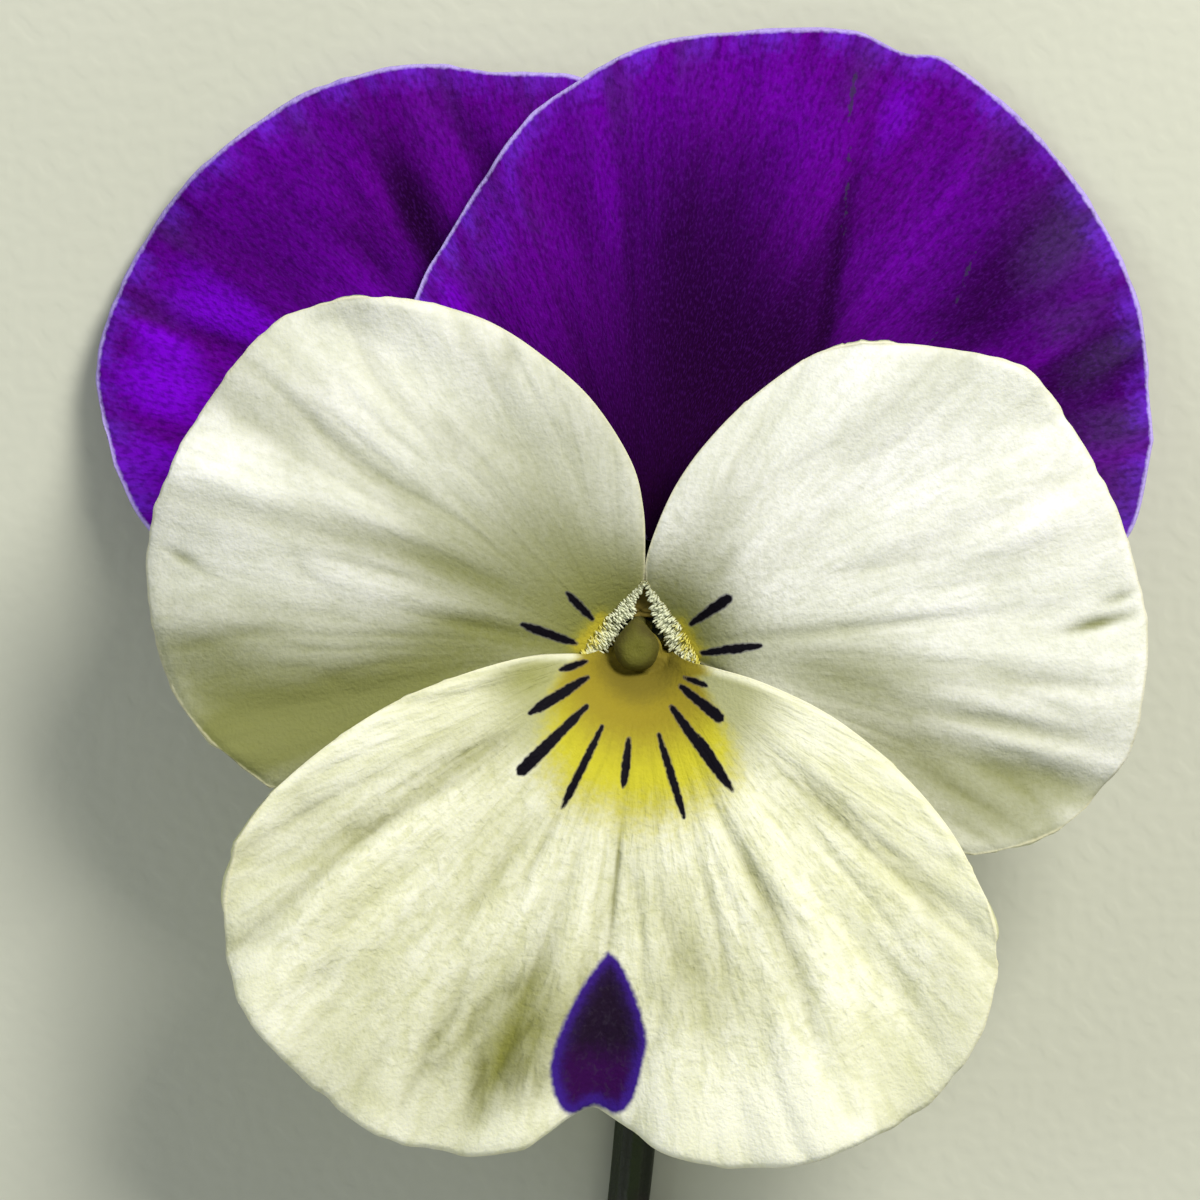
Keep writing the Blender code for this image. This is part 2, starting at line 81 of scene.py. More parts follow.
class Measure(Enum):
    """What a mesh keeps at each point for its finish, in millimetres unless said.

    The comments say what petals keep. Small pieces keep what their own finish reads under the same names: the turn
    from the stigma's hollow, the share up an anther or a hair, how deep the pith of the cut lies.
    """

    EDGE = "edge_mm"          # how far inside the petal's outline
    THROAT = "throat_mm"      # how far from the middle of the bloom
    EYE = "eye_share"         # 1 on the border of the yellow eye, less inside it
    WHISKER = "whisker_mm"    # how deep inside a dark whisker
    BLOTCH = "blotch_mm"      # how deep inside the dark blotch
    SHADE = "shade_share"     # painted shade, in the floor of folds and where a petal turns from the light, partly greener tissue; below 0, painted light
    BACK = "back_share"       # 0 on the front face, 1 on the back


class Grain(Enum):
    """What a pattern runs along."""

    FAN = "fan"               # the fan of veins: turn and distance from their focus, or across and along
    TISSUE = "tissue"         # the tissue itself, in millimetres


EDGE, THROAT, EYE, WHISKER, BLOTCH, SHADE, BACK = Measure
FAN, TISSUE = Grain


def linear(colour: str) -> tuple[float, float, float, float]:
    """Turns an sRGB hex colour into the linear one that shaders take.

    Args:
        colour: the colour as #rrggbb.

    Returns:
        Linear red, green and blue, and an alpha of 1.
    """
    knee, slope, offset, power = 0.04045, 12.92, 0.055, 2.4
    channels = [int(colour[start:start + 2], 16) / 255 for start in (1, 3, 5)]
    return (*[c / slope if c <= knee else ((c + offset) / (1 + offset)) ** power for c in channels], 1.0)


def add_node(tree: Tree, kind: str, settings: Optional[dict] = None,
             inputs: Optional[dict] = None) -> bpy.types.Node:
    """Adds a node with its settings and links.

    Args:
        tree: the node tree that it joins.
        kind: its Blender type name.
        settings: values of its own properties.
        inputs: values of its sockets, or the sockets that are linked to them.

    Returns:
        The new node.
    """
    node = tree.nodes.new(kind)
    for name, value in (settings or {}).items():
        setattr(node, name, value)
    for key, value in (inputs or {}).items():
        if isinstance(value, Socket):
            tree.links.new(value, node.inputs[key])
        else:
            node.inputs[key].default_value = value
    return node


@dataclass(frozen=True)
class Band:
    """A part of a piece: a measure rises from nothing at start to all at end, its border roughened."""

    measure: Measure
    start: float
    end: float
    ragged: float = 0.0

    def mask(self, tree: Tree, grains: dict[Grain, Socket]) -> Socket:
        """Adds the nodes of the band.

        Args:
            tree: the material's node tree.
            grains: the coordinates of each grain.

        Returns:
            The socket that runs from 0 to 1.
        """
        value = add_node(tree, "ShaderNodeAttribute", {"attribute_name": self.measure.value}).outputs["Fac"]
        if self.ragged:
            noise = add_node(tree, "ShaderNodeTexNoise",
                             inputs={"Vector": grains[TISSUE], "Scale": 5.0, "Detail": 1.0})
            value = add_node(tree, "ShaderNodeMath", {"operation": "MULTIPLY_ADD"},
                             {0: noise.outputs[0], 1: 2 * self.ragged, 2: value}).outputs[0]
        return add_node(tree, "ShaderNodeMapRange", {"interpolation_type": "SMOOTHSTEP"},
                        {"Value": value, "From Min": self.start + self.ragged,
                         "From Max": self.end + self.ragged}).outputs[0]


@dataclass(frozen=True)
class Streaks:
    """Noise over a grain, in cells per unit, shown where it runs from low to high.

    With lines set, it shows as fine lines where the noise crosses its middle, high wide on each side.
    """

    grain: Grain
    cells: Spot
    low: float
    high: float
    detail: float = 3.0
    warp: float = 0.0
    lines: bool = False

    def mask(self, tree: Tree, grains: dict[Grain, Socket]) -> Socket:
        """Adds the nodes of the streaks.

        Args:
            tree: the material's node tree.
            grains: the coordinates of each grain.

        Returns:
            The socket that runs from 0 to 1.
        """
        place = add_node(tree, "ShaderNodeMapping", inputs={"Vector": grains[self.grain], "Scale": self.cells})
        noise = add_node(tree, "ShaderNodeTexNoise",
                         inputs={"Vector": place.outputs[0], "Scale": 1.0, "Detail": self.detail,
                                 "Distortion": self.warp}).outputs[0]
        low, high = self.low, self.high
        if self.lines:
            low, high = high, low
            noise = add_node(tree, "ShaderNodeMath", {"operation": "SUBTRACT"}, {0: noise, 1: 0.5}).outputs[0]
            noise = add_node(tree, "ShaderNodeMath", {"operation": "ABSOLUTE"}, {0: noise}).outputs[0]
        return add_node(tree, "ShaderNodeMapRange", {"interpolation_type": "SMOOTHSTEP"},
                        {"Value": noise, "From Min": low, "From Max": high}).outputs[0]


@dataclass(frozen=True)
class Coat:
    """One colour over those before it, where all its masks meet, which may also raise the surface."""

    colour: str
    strength: float
    masks: tuple[Band | Streaks, ...]
    relief: float = 0.0


def coat(colour: str, strength: float, *masks: Band | Streaks, relief: float = 0.0) -> Coat:
    """A coat from a row of its values; with no colour it only raises the surface."""
    return Coat(colour, strength, masks, relief)


def veins(across: float, along: float, low: float, high: float, detail: float = 3.0, warp: float = 0.0,
          lines: bool = False) -> Streaks:
    """Streaks along the veins: 34 across a half turn of the fan are 0.9 mm apart, 10 mm from its focus."""
    return Streaks(FAN, (across, along, 1.0), low, high, detail, warp, lines)


def mottle(cells: float, low: float, high: float, detail: float = 3.0, warp: float = 0.0) -> Streaks:
    """Mottles of the tissue, as many to a millimetre each way."""
    return Streaks(TISSUE, (cells, cells, cells), low, high, detail, warp)


def cell_bumps(cells: float, relief: float, detail: float = 3.0) -> Coat:
    """The bumps of a skin's cells. Real ones are 0.03 mm, too fine to show, so they are drawn as 0.1 mm."""
    return coat("", 1.0, mottle(cells, 0.3, 0.7, detail), relief=relief)


@dataclass(frozen=True)
class Tissue:
    """A plant tissue: a base colour, coats over it, and how its surface takes light."""

    name: str
    base: str
    coats: tuple[Coat, ...]
    roughness: Point = (0.55, 0.75)
    specular: float = 0.3
    sheen: float = 0.0
    sheen_tint: str = "#ffffff"
    glow: float = 0.12
    glow_reach: float = 0.5
    glow_tint: Spot = (1.0, 0.8, 0.5)

    def material(self) -> bpy.types.Material:
        """Builds the material.

        Returns:
            The material, with its colour, roughness and relief from nodes.
        """
        material = bpy.data.materials.new(self.name)
        material.use_nodes = True
        tree = material.node_tree
        shader = tree.nodes["Principled BSDF"]
        place = add_node(tree, "ShaderNodeTexCoord").outputs["Object"]
        tissue = add_node(tree, "ShaderNodeVectorMath", {"operation": "SCALE"},
                          {0: place, "Scale": 1 / MM}).outputs[0]
        grains = {TISSUE: tissue, FAN: add_node(tree, "ShaderNodeUVMap", {"uv_map": FAN.value}).outputs[0]}
        colour = linear(self.base)
        normal = None
        for layer in self.coats:
            mask = self.coat_mask(tree, layer, grains)
            if layer.colour:
                colour = add_node(tree, "ShaderNodeMix", {"data_type": "RGBA"},
                                  {0: mask, 6: colour, 7: linear(layer.colour)}).outputs[2]
            if layer.relief:
                bump = add_node(tree, "ShaderNodeBump", {"invert": layer.relief < 0},
                                {"Height": mask, "Distance": abs(layer.relief) * MM})
                if normal is not None:
                    tree.links.new(normal, bump.inputs["Normal"])
                normal = bump.outputs[0]
        tree.links.new(colour, shader.inputs["Base Color"])
        if normal is not None:
            tree.links.new(normal, shader.inputs["Normal"])
        grit = add_node(tree, "ShaderNodeTexNoise", inputs={"Vector": tissue, "Scale": 2.5, "Detail": 1.0})
        rough = add_node(tree, "ShaderNodeMapRange", inputs={"Value": grit.outputs[0],
                         "To Min": self.roughness[0], "To Max": self.roughness[1]})
        tree.links.new(rough.outputs[0], shader.inputs["Roughness"])
        constants = {"Specular IOR Level": self.specular, "Sheen Weight": self.sheen, "Sheen Roughness": 0.5,
                     "Sheen Tint": linear(self.sheen_tint), "Subsurface Weight": self.glow,
                     "Subsurface Scale": self.glow_reach * MM, "Subsurface Radius": self.glow_tint}
        for socket, value in constants.items():
            shader.inputs[socket].default_value = value
        return material

    def coat_mask(self, tree: Tree, layer: Coat, grains: dict[Grain, Socket]) -> Socket:
        """Multiplies a coat's masks and its strength.

        Args:
            tree: the material's node tree.
            layer: the coat.
            grains: the coordinates of each grain.

        Returns:
            The socket that runs from 0 to the coat's strength.
        """
        parts = [mask.mask(tree, grains) for mask in layer.masks]
        mask = parts[0]
        for part in (*parts[1:], layer.strength):
            mask = add_node(tree, "ShaderNodeMath", {"operation": "MULTIPLY"}, {0: mask, 1: part}).outputs[0]
        return mask


# Dark sap fills the whiskers, a little ragged where its cells end.
DARK_SAP = coat("#080510", 1.0, Band(WHISKER, -0.02, 0.03, 0.05))

# Purple petals are velvet: cone-shaped cells swallow light, so the colour is deep and there's no gloss.
# Painted shade lies over the dark pigment of folds and centre, with painted light, a painted grey sheen haze and
# painted rim sheen.
VELVET = Tissue(
    "velvety_purple_epidermis", "#65029e",
    (
        coat("#500270", 0.6, mottle(0.16, 0.36, 0.66, 1.0)),
        coat("#820cc4", 0.3, veins(12.0, 0.9, 0.42, 0.8, 1.0, 0.2)),
        coat("#3a0354", 0.65, veins(34.0, 1.0, 0.42, 0.8, 1.0, 0.1), relief=-0.04),
        coat("#340450", 0.45, veins(90.0, 2.0, 0.42, 0.78, 1.5, 0.1), relief=-0.03),
        # painted light: brighter violet where the shade measure falls below 0
        coat("#7c06de", 0.8, Band(SHADE, -0.04, -0.3, 0.03)),
        # painted reflection: a slate-grey sheen haze within a few millimetres of the margin
        coat("#3a2458", 0.5, Band(EDGE, 3.4, 0.8, 1.2), veins(22.0, 1.2, 0.46, 0.7, 2.0, 0.3)),
        # dark pigment of the centre, and painted shade in the floor of folds
        coat("#1e0228", 0.97, Band(SHADE, -0.1, 0.85, 0.05)),
        # painted reflection: the slate-grey sheen haze along the line that a petal gives
        coat("#3e285a", 0.72, Band(EYE, 1.2, 0.2, 0.3), veins(26.0, 2.0, 0.3, 0.6, 2.0, 0.3)),
        # bluer violet along the margin, with painted highlight streaks just inside the rim
        coat("#6c2cdc", 0.6, Band(EDGE, 1.2, 0.05, 0.5), veins(60.0, 3.0, 0.3, 0.7)),
        coat("#1a031a", 0.97, Band(THROAT, 13.5, 5.0, 1.0)),
        coat("#1c022a", 0.42, Band(THROAT, 3.0, 8.0), veins(330.0, 46.0, 0.38, 0.72, 1.0, 0.1), relief=-0.02),
        coat("#8a38d8", 0.07, Band(THROAT, 3.0, 8.0), veins(520.0, 90.0, 0.45, 0.75, 1.0, 0.1)),
        cell_bumps(11.0, 0.008, 1.0),
        coat("#332e44", 0.7, Band(WHISKER, 0.0, 0.06, 0.14)),
        # painted rim light: the pale lilac sheen of light at the thin margin
        coat("#bdaef0", 0.85, Band(EDGE, 0.18, 0.04, 0.06)),
        coat("#5a3a94", 0.75, Band(BACK, 0.4, 0.6)),
        coat("#c8cf9a", 0.9, Band(THROAT, 2.6, 1.6)),
    ),
    roughness=(0.75, 0.95), specular=0.01, sheen=0.06, sheen_tint="#5a10c0", glow=0.0)

# Side petals are thin and waxy-white: light spreads inside them, and folds show as soft grey-green valleys of
# painted shade.
CREAM = Tissue(
    "creamy_white_epidermis", "#fafcf8",
    (
        coat("#e6eadc", 0.45, mottle(0.3, 0.36, 0.7, 1.0)),
        coat("#d2d6c0", 0.3, Band(THROAT, 2.0, 6.5), veins(34.0, 2.2, 0.4, 0.76, 2.0, 0.15), relief=-0.04),
        coat("#cdd1b8", 0.3, Band(THROAT, 3.0, 8.0), veins(110.0, 16.0, 0.38, 0.74, 2.0, 0.25), relief=-0.024),
        coat("#cfd3bd", 0.26, mottle(3.2, 0.42, 0.75, 2.0, 0.1), relief=-0.018),
        # painted shade in folds, wrinkle valleys and where the petal turns from the light, partly greener tissue
        coat("#7a7e42", 0.97, Band(SHADE, -0.12, 0.95, 0.05)),
        coat("#5c6030", 0.22, Band(SHADE, 0.2, 0.8, 0.05), veins(40.0, 2.6, 0.45, 0.75, 2.0, 0.15), relief=-0.03),
        # painted light where the shade measure falls below 0
        coat("#ffffff", 0.6, Band(SHADE, -0.04, -0.4)),
        # painted shade deepening into the hollow of the throat, partly greener tissue there
        coat("#9a9e80", 0.28, Band(THROAT, 9.0, 2.5), mottle(4.2, 0.42, 0.7, 2.0, 0.1), relief=-0.025),
        cell_bumps(8.0, 0.008, 1.0),
        # more painted shade in the throat's hollow and at the mouth's corners
        coat("#a9ad7c", 0.75, Band(THROAT, 3.6, 1.2, 0.3)),
        coat("#7b7e38", 0.85, Band(THROAT, 5.0, 1.8, 0.3)),
        coat("#a8a43a", 0.65, Band(EYE, 1.35, 0.1, 0.25)),
        coat("#cdbc2a", 0.5, Band(EYE, 0.7, 0.2, 0.25)),
        coat("#d6d3b0", 0.6, Band(EDGE, 0.1, 0.02, 0.03)),
        coat("#2e2560", 0.5, Band(WHISKER, -0.06, -0.01, 0.035)),
        DARK_SAP,
        coat("#cfd3ae", 0.8, Band(BACK, 0.4, 0.6)),
    ),
    roughness=(0.6, 0.8), specular=0.1, glow=0.12, glow_reach=0.3, glow_tint=(1.0, 0.95, 0.6))

# The lower petal is the same waxy tissue, yellower, with its eye, whiskers and blotch in the cell sap.
# Its folds get painted olive shade, partly greener tissue, and its brightest parts painted light.
LEMON_CREAM = Tissue(
    "lemon_cream_epidermis", "#fafce8",
    (
        coat("#e0e2ba", 0.42, mottle(0.3, 0.36, 0.7, 1.0)),
        coat("#cccf98", 0.34, Band(THROAT, 2.5, 6.0), veins(40.0, 2.4, 0.4, 0.76, 2.0, 0.15), relief=-0.055),
        coat("#cacd94", 0.34, Band(THROAT, 2.5, 6.0), veins(120.0, 16.0, 0.38, 0.74, 2.0, 0.3), relief=-0.05),
        coat("#cacd96", 0.3, Band(THROAT, 3.0, 5.5), Band(EDGE, 0.3, 3.0), mottle(3.0, 0.42, 0.74, 2.0, 0.3),
             relief=-0.05),
        # painted olive shade in folds and wrinkle valleys, partly greener tissue
        coat("#7d7f2c", 0.97, Band(SHADE, -0.1, 1.0, 0.06)),
        coat("#62641f", 0.5, Band(SHADE, 0.2, 0.6, 0.08), veins(58.0, 7.0, 0.44, 0.7, 3.0, 0.5), relief=-0.07),
        # painted light where the shade measure falls below 0
        coat("#fdffea", 0.85, Band(SHADE, -0.04, -0.4)),
        cell_bumps(8.0, 0.008, 1.0),
        coat("#e6e4c0", 0.5, Band(EDGE, 0.1, 0.02, 0.03)),
        coat("#3a1c86", 1.0, Band(BLOTCH, -0.12, 0.09, 0.06)),
        coat("#26123c", 0.92, Band(BLOTCH, 0.0, 0.44, 0.1), Band(THROAT, 14.4, 12.0)),
        coat("#1d0d26", 1.0, Band(BLOTCH, 0.2, 0.75, 0.12)),
        coat("#35004c", 0.85, Band(BLOTCH, 0.12, 0.6, 0.12), Band(THROAT, 12.2, 13.6, 0.3)),
        coat("#3c3444", 0.3, Band(BLOTCH, 0.2, 0.5), veins(200.0, 60.0, 0.5, 0.75, 2.0, 0.9)),
        coat("#d3d6a8", 0.8, Band(BACK, 0.4, 0.6)),
        # painted olive shade at the mouth's corners, where the shoulders dip into the throat, leaving a lit rim
        coat("#8f9248", 0.72, Band(THROAT, 5.9, 3.4), Band(EDGE, 0.0, 0.35)),
        coat("#c6c020", 0.93, Band(EYE, 1.16, 0.7, 0.12)),
        coat("#a8a42c", 0.4, Band(EYE, 1.1, 0.8), Band(THROAT, 1.8, 3.0), veins(44.0, 9.0, 0.42, 0.72, 3.0, 0.6),
             relief=-0.03),
        # ochre of the eye's middle, darkened by painted shade in the trough and round the stigma head
        coat("#948627", 0.97, Band(EYE, 1.12, 0.85), Band(THROAT, 4.0, 2.0, 0.2)),
        coat("#746926", 0.85, Band(EYE, 1.12, 0.9), Band(THROAT, 1.85, 1.0, 0.15)),
        coat("#2e2560", 0.45, Band(WHISKER, -0.05, -0.01, 0.035)),
        DARK_SAP,
        coat("#8f7aa8", 0.7, Band(THROAT, -2.0, -4.5, 0.6)),
    ),
    roughness=(0.6, 0.8), specular=0.1, glow=0.12, glow_reach=0.3, glow_tint=(1.0, 0.95, 0.5))

# Sepals are leaf-like: waxy green with paler veins along them and thin pale margins.
SEPAL_GREEN = Tissue(
    "waxy_green_sepal", "#4d6a2c",
    (
        coat("#6b8a3c", 0.6, veins(7.0, 0.8, 0.0, 0.03, lines=True), relief=0.03),
        coat("#39521f", 0.6, mottle(1.2, 0.42, 0.65)),
        cell_bumps(9.0, 0.01),
        coat("#a3b878", 0.8, Band(EDGE, 0.14, 0.03, 0.03)),
    ),
    roughness=(0.42, 0.6), specular=0.4, glow=0.1, glow_tint=(0.6, 1.0, 0.3))

# The stalk is juicy dark green, ribbed, with a purple-brown blush, and pale wet pith where it's cut.
# Its near-black base is painted shade too: darker than the stalk's own green, as it looks in shade.
STALK_GREEN = Tissue(
    "ribbed_green_stalk_skin", "#1c230f",
    (
        coat("#2f3d1a", 0.7, veins(9.0, 3.0, 0.42, 0.62, warp=0.2), relief=0.03),
        coat("#2c1d24", 0.5, mottle(0.35, 0.5, 0.68)),
        cell_bumps(8.0, 0.012),
        coat("#a9bb78", 0.95, Band(EDGE, 0.03, 0.06)),
        coat("#dde3b8", 0.9, Band(EDGE, 0.25, 0.45, 0.05)),
    ),
    roughness=(0.38, 0.55), specular=0.4, glow=0.05, glow_tint=(0.6, 1.0, 0.3))

# The stigma head is dull olive, lighter inside its hollow; its neck is dark, the style olive and the ovary green.
PISTIL_OLIVE = Tissue(
    "dull_olive_stigma", "#55521f",
    (
        coat("#46401c", 0.6, mottle(1.6, 0.42, 0.62)),
        coat("#6c6c29", 0.9, Band(EYE, 1.1, 0.2, 0.16)),
        coat("#4a5034", 0.95, Band(BACK, 0.05, 0.3)),
        coat("#48461a", 0.95, Band(BACK, 0.32, 0.38)),
        coat("#8d9440", 0.9, Band(BACK, 0.6, 0.9)),
        cell_bumps(12.0, 0.01),
    ),
    roughness=(0.6, 0.8), specular=0.15, glow=0.25, glow_reach=0.3, glow_tint=(0.9, 1.0, 0.3))

# Anthers are dusty pale sacs, each with a thin brown scale at its tip.
ANTHER_TAN = Tissue(
    "dusty_anther_with_brown_tip", "#cdbf8a",
    (
        coat("#a98e4e", 0.6, Streaks(TISSUE, (5.0, 5.0, 2.0), 0.45, 0.62), relief=0.01),
        coat("#8a7a30", 0.95, Band(EYE, 0.56, 0.72, 0.04)),
        coat("#6e6028", 0.8, Band(EYE, 0.8, 1.0)),
    ),
    roughness=(0.6, 0.8), specular=0.15)

# Beard hairs are glassy water-filled clubs: white, and yellow on the outer side of each band's lower half.
BEARD_WHITE = Tissue(
    "glassy_beard_hair", "#e8edcc",
    (
        # painted olive shade toward the roots, where the hairs crowd
        coat("#8c8430", 0.85, Band(THROAT, 0.6, 0.1)),
        coat("#d8cd44", 0.9, Band(EYE, 0.3, 0.9)),
        cell_bumps(14.0, 0.004),
    ),
    roughness=(0.4, 0.55), specular=0.3, glow=0.1, glow_reach=0.1, glow_tint=(1.0, 1.0, 0.8))

# The floor is plain pale card: broad faint clouds in its tone, and a grain of half a millimetre.
BOARD = Tissue(
    "pale_matt_board", "#c9ccbe",
    (
        coat("#c2c6b6", 0.25, mottle(0.05, 0.4, 0.6)),
        coat("", 1.0, mottle(2.0, 0.3, 0.7, 0.0), relief=0.01),
    ),
    roughness=(0.8, 0.9), specular=0.1, glow=0.0)


def smoothstep(start: float, end: float, value: Array) -> Array:
    """A soft step from 0 at start to 1 at end."""
    share = np.clip((value - start) / (end - start), 0.0, 1.0)
    return share * share * (3.0 - 2.0 * share)


def wavy(across: Array, along: Array, seed: int) -> Array:
    """Smooth seeded noise over a plane, one bump per unit.

    Args:
        across: first coordinate of each point.
        along: second coordinate of each point.
        seed: which pattern it is.

    Returns:
        A height from -1 to 1 for each point.
    """
    lattice = np.random.default_rng(seed).uniform(-1.0, 1.0, (NOISE_CELLS, NOISE_CELLS))
    left, low = np.floor(across).astype(int), np.floor(along).astype(int)
    u, v = across - left, along - low
    u, v = (t * t * t * (t * (t * 6 - 15) + 10) for t in (u, v))
    corners = [lattice[(left + i) % NOISE_CELLS, (low + j) % NOISE_CELLS] for i in (0, 1) for j in (0, 1)]
    return (corners[0] * (1 - u) * (1 - v) + corners[1] * (1 - u) * v
            + corners[2] * u * (1 - v) + corners[3] * u * v)


def ridged(noise: Array) -> Array:
    """Noise folded at its middle, so that broad crests stand between sharp valleys."""
    return 2 * np.abs(noise) ** 0.8 - 0.8


class SmoothLine:
    """A smooth curve through points, read by the share of its length."""

    STEPS = 16

    def __init__(self, points: Sequence[Sequence[float]]) -> None:
        """Runs a curve through points.

        Args:
            points: the points, in order.
        """
        points = np.array(points, float)
        padded = np.vstack([2 * points[0] - points[1], points, 2 * points[-1] - points[-2]])
        t = np.arange(1, self.STEPS + 1)[:, None] / self.STEPS
        spans = [points[:1]]
        for index in range(1, len(padded) - 2):
            before, start, end, after = padded[index - 1:index + 3]
            spans.append(0.5 * (2 * start + (end - before) * t
                                + (2 * before - 5 * start + 4 * end - after) * t ** 2
                                + (3 * start - before - 3 * end + after) * t ** 3))
        self.dense = np.vstack(spans)
        lengths = np.linalg.norm(np.diff(self.dense, axis=0), axis=1)
        self.length = float(lengths.sum())
        self.reach = np.concatenate([[0.0], np.cumsum(lengths)]) / self.length

    def at(self, share: Array) -> Array:
        """The points at shares of the length, one row each."""
        return np.stack([np.interp(share, self.reach, axis) for axis in self.dense.T], axis=-1)

    def share_nearest(self, point: Sequence[float]) -> float:
        """The share of the length at which the curve comes nearest to a point."""
        return float(self.reach[np.argmin(np.linalg.norm(self.dense - np.array(point), axis=1))])


def distance_to(points: Array, line: Array) -> Array:
    """The distance of each plan point from a line of plan points.

    Args:
        points: the points, one row each.
        line: the line's points, one row each.

    Returns:
        One distance per point.
    """
    nearest = np.full(len(points), np.inf)
    for start, end in zip(line[:-1], line[1:]):
        run = end - start
        share = np.clip((points - start) @ run / max(run @ run, 1e-9), 0.0, 1.0)
        nearest = np.minimum(nearest, np.hypot(*(points - start - share[:, None] * run).T))
    return nearest


def inside(points: Array, loop: Array) -> Array:
    """Tells which plan points lie inside a closed loop.

    Args:
        points: the points, one row each.
        loop: the loop's points, one row each.

    Returns:
        True for each point inside.
    """
    found = np.zeros(len(points), bool)
    for (x0, y0), (x1, y1) in zip(loop, np.roll(loop, -1, axis=0)):
        crosses = (y0 > points[:, 1]) != (y1 > points[:, 1])
        rise = np.where(y1 == y0, 1e-9, y1 - y0)
        found ^= crosses & (points[:, 0] < (x1 - x0) * (points[:, 1] - y0) / rise + x0)
    return found


def unit(rows: Array) -> Array:
    """The rows of a table of vectors, each at length 1."""
    return rows / np.linalg.norm(rows, axis=1, keepdims=True)


def frame_across(heading: Array) -> tuple[Array, Array]:
    """Sets up two directions across each of many headings.

    Args:
        heading: directions of length 1, one row each.

    Returns:
        The level direction and the upward one, one row each.
    """
    level = np.array([1.0, 0.0, 0.0])
    sideways = unit(level - heading * (heading @ level)[:, None])
    return sideways, np.cross(sideways, heading)


def only(piece: Piece) -> None:
    """Makes a piece the one selected and active object.

    Args:
        piece: the piece.
    """
    bpy.ops.object.select_all(action="DESELECT")
    piece.select_set(True)
    bpy.context.view_layer.objects.active = piece


def edit_whole(piece: Piece, operator: Callable, **settings: object) -> None:
    """Runs an edit-mode operator on all of a piece.

    Args:
        piece: the piece.
        operator: the operator.
        settings: what the operator takes.
    """
    only(piece)
    bpy.ops.object.mode_set(mode="EDIT")
    bpy.ops.mesh.select_all(action="SELECT")
    operator(**settings)
    bpy.ops.object.mode_set(mode="OBJECT")


def read_points(piece: Piece) -> Array:
    """Reads where a piece's points are.

    Args:
        piece: the piece.

    Returns:
        Its points as the mesh holds them, one row each.
    """
    points = np.zeros(len(piece.data.vertices) * 3)
    piece.data.vertices.foreach_get("co", points)
    return points.reshape(-1, 3)


def apply_modifier(piece: Piece, kind: str, **settings: object) -> None:
    """Gives a piece a modifier and applies it.

    Args:
        piece: the piece.
        kind: the modifier's Blender type name.
        settings: what it takes.
    """
    only(piece)
    modifier = piece.modifiers.new(kind.lower(), kind)
    for name, value in settings.items():
        setattr(modifier, name, value)
    bpy.ops.object.modifier_apply(modifier=modifier.name)


def grid_piece(name: str, columns: int, rows: int) -> tuple[Piece, Array, Array]:
    """Adds a grid primitive whose points are then moved.

    Args:
        name: the piece's name.
        columns: faces across it.
        rows: faces along it.

    Returns:
        The piece, and how far across and along it each point lies, from 0 to 1.
    """
    bpy.ops.object.select_all(action="DESELECT")
    bpy.ops.mesh.primitive_grid_add(x_subdivisions=columns, y_subdivisions=rows, size=1.0)
    piece = bpy.context.object
    piece.name = name
    share = np.clip(read_points(piece)[:, :2] + 0.5, 0.0, 1.0)
    return piece, share[:, 0], share[:, 1]


def move_points(piece: Piece, points: Array) -> None:
    """Puts a piece's points where they belong.

    Args:
        piece: the piece.
        points: the new points in millimetres, one row each.
    """
    piece.data.vertices.foreach_set("co", (points * MM).ravel())
    piece.data.update()


def keep_fan(piece: Piece, across: Array, along: Array) -> None:
    """Keeps the fan coordinates of a piece's points in its UV map.

    Args:
        piece: the piece.
        across: first coordinate of each point.
        along: second coordinate of each point.
    """
    layer = piece.data.uv_layers[0] if piece.data.uv_layers else piece.data.uv_layers.new()
    layer.name = FAN.value
    corners = np.zeros(len(piece.data.loops), int)
    piece.data.loops.foreach_get("vertex_index", corners)
    layer.data.foreach_set("uv", np.stack([across, along], axis=-1)[corners].ravel())


def keep_measures(piece: Piece, measures: dict[Measure, Array | float]) -> None:
    """Keeps measures at a piece's points.

    Args:
        piece: the piece.
        measures: a value for each point, or one for all of them, by measure.
    """
    for measure, values in measures.items():
        layer = piece.data.attributes.new(measure.value, "FLOAT", "POINT")
        layer.data.foreach_set("value", np.broadcast_to(values, len(piece.data.vertices)).astype(np.float32))


def merge_seams(piece: Piece) -> None:
    """Joins points of a piece that lie together."""
    edit_whole(piece, bpy.ops.mesh.remove_doubles, threshold=SEAM)


def turn_outwards(piece: Piece) -> None:
    """Turns the faces of a closed piece outwards."""
    edit_whole(piece, bpy.ops.mesh.normals_make_consistent, inside=False)


def ball_piece(segments: int, rings: int) -> tuple[Piece, Array]:
    """Adds a ball primitive whose points are then moved.

    Args:
        segments: faces round it.
        rings: faces from pole to pole.

    Returns:
        The piece, and its points on a ball of radius 1, one row each.
    """
    bpy.ops.object.select_all(action="DESELECT")
    bpy.ops.mesh.primitive_uv_sphere_add(segments=segments, ring_count=rings, radius=1.0)
    return bpy.context.object, read_points(bpy.context.object)


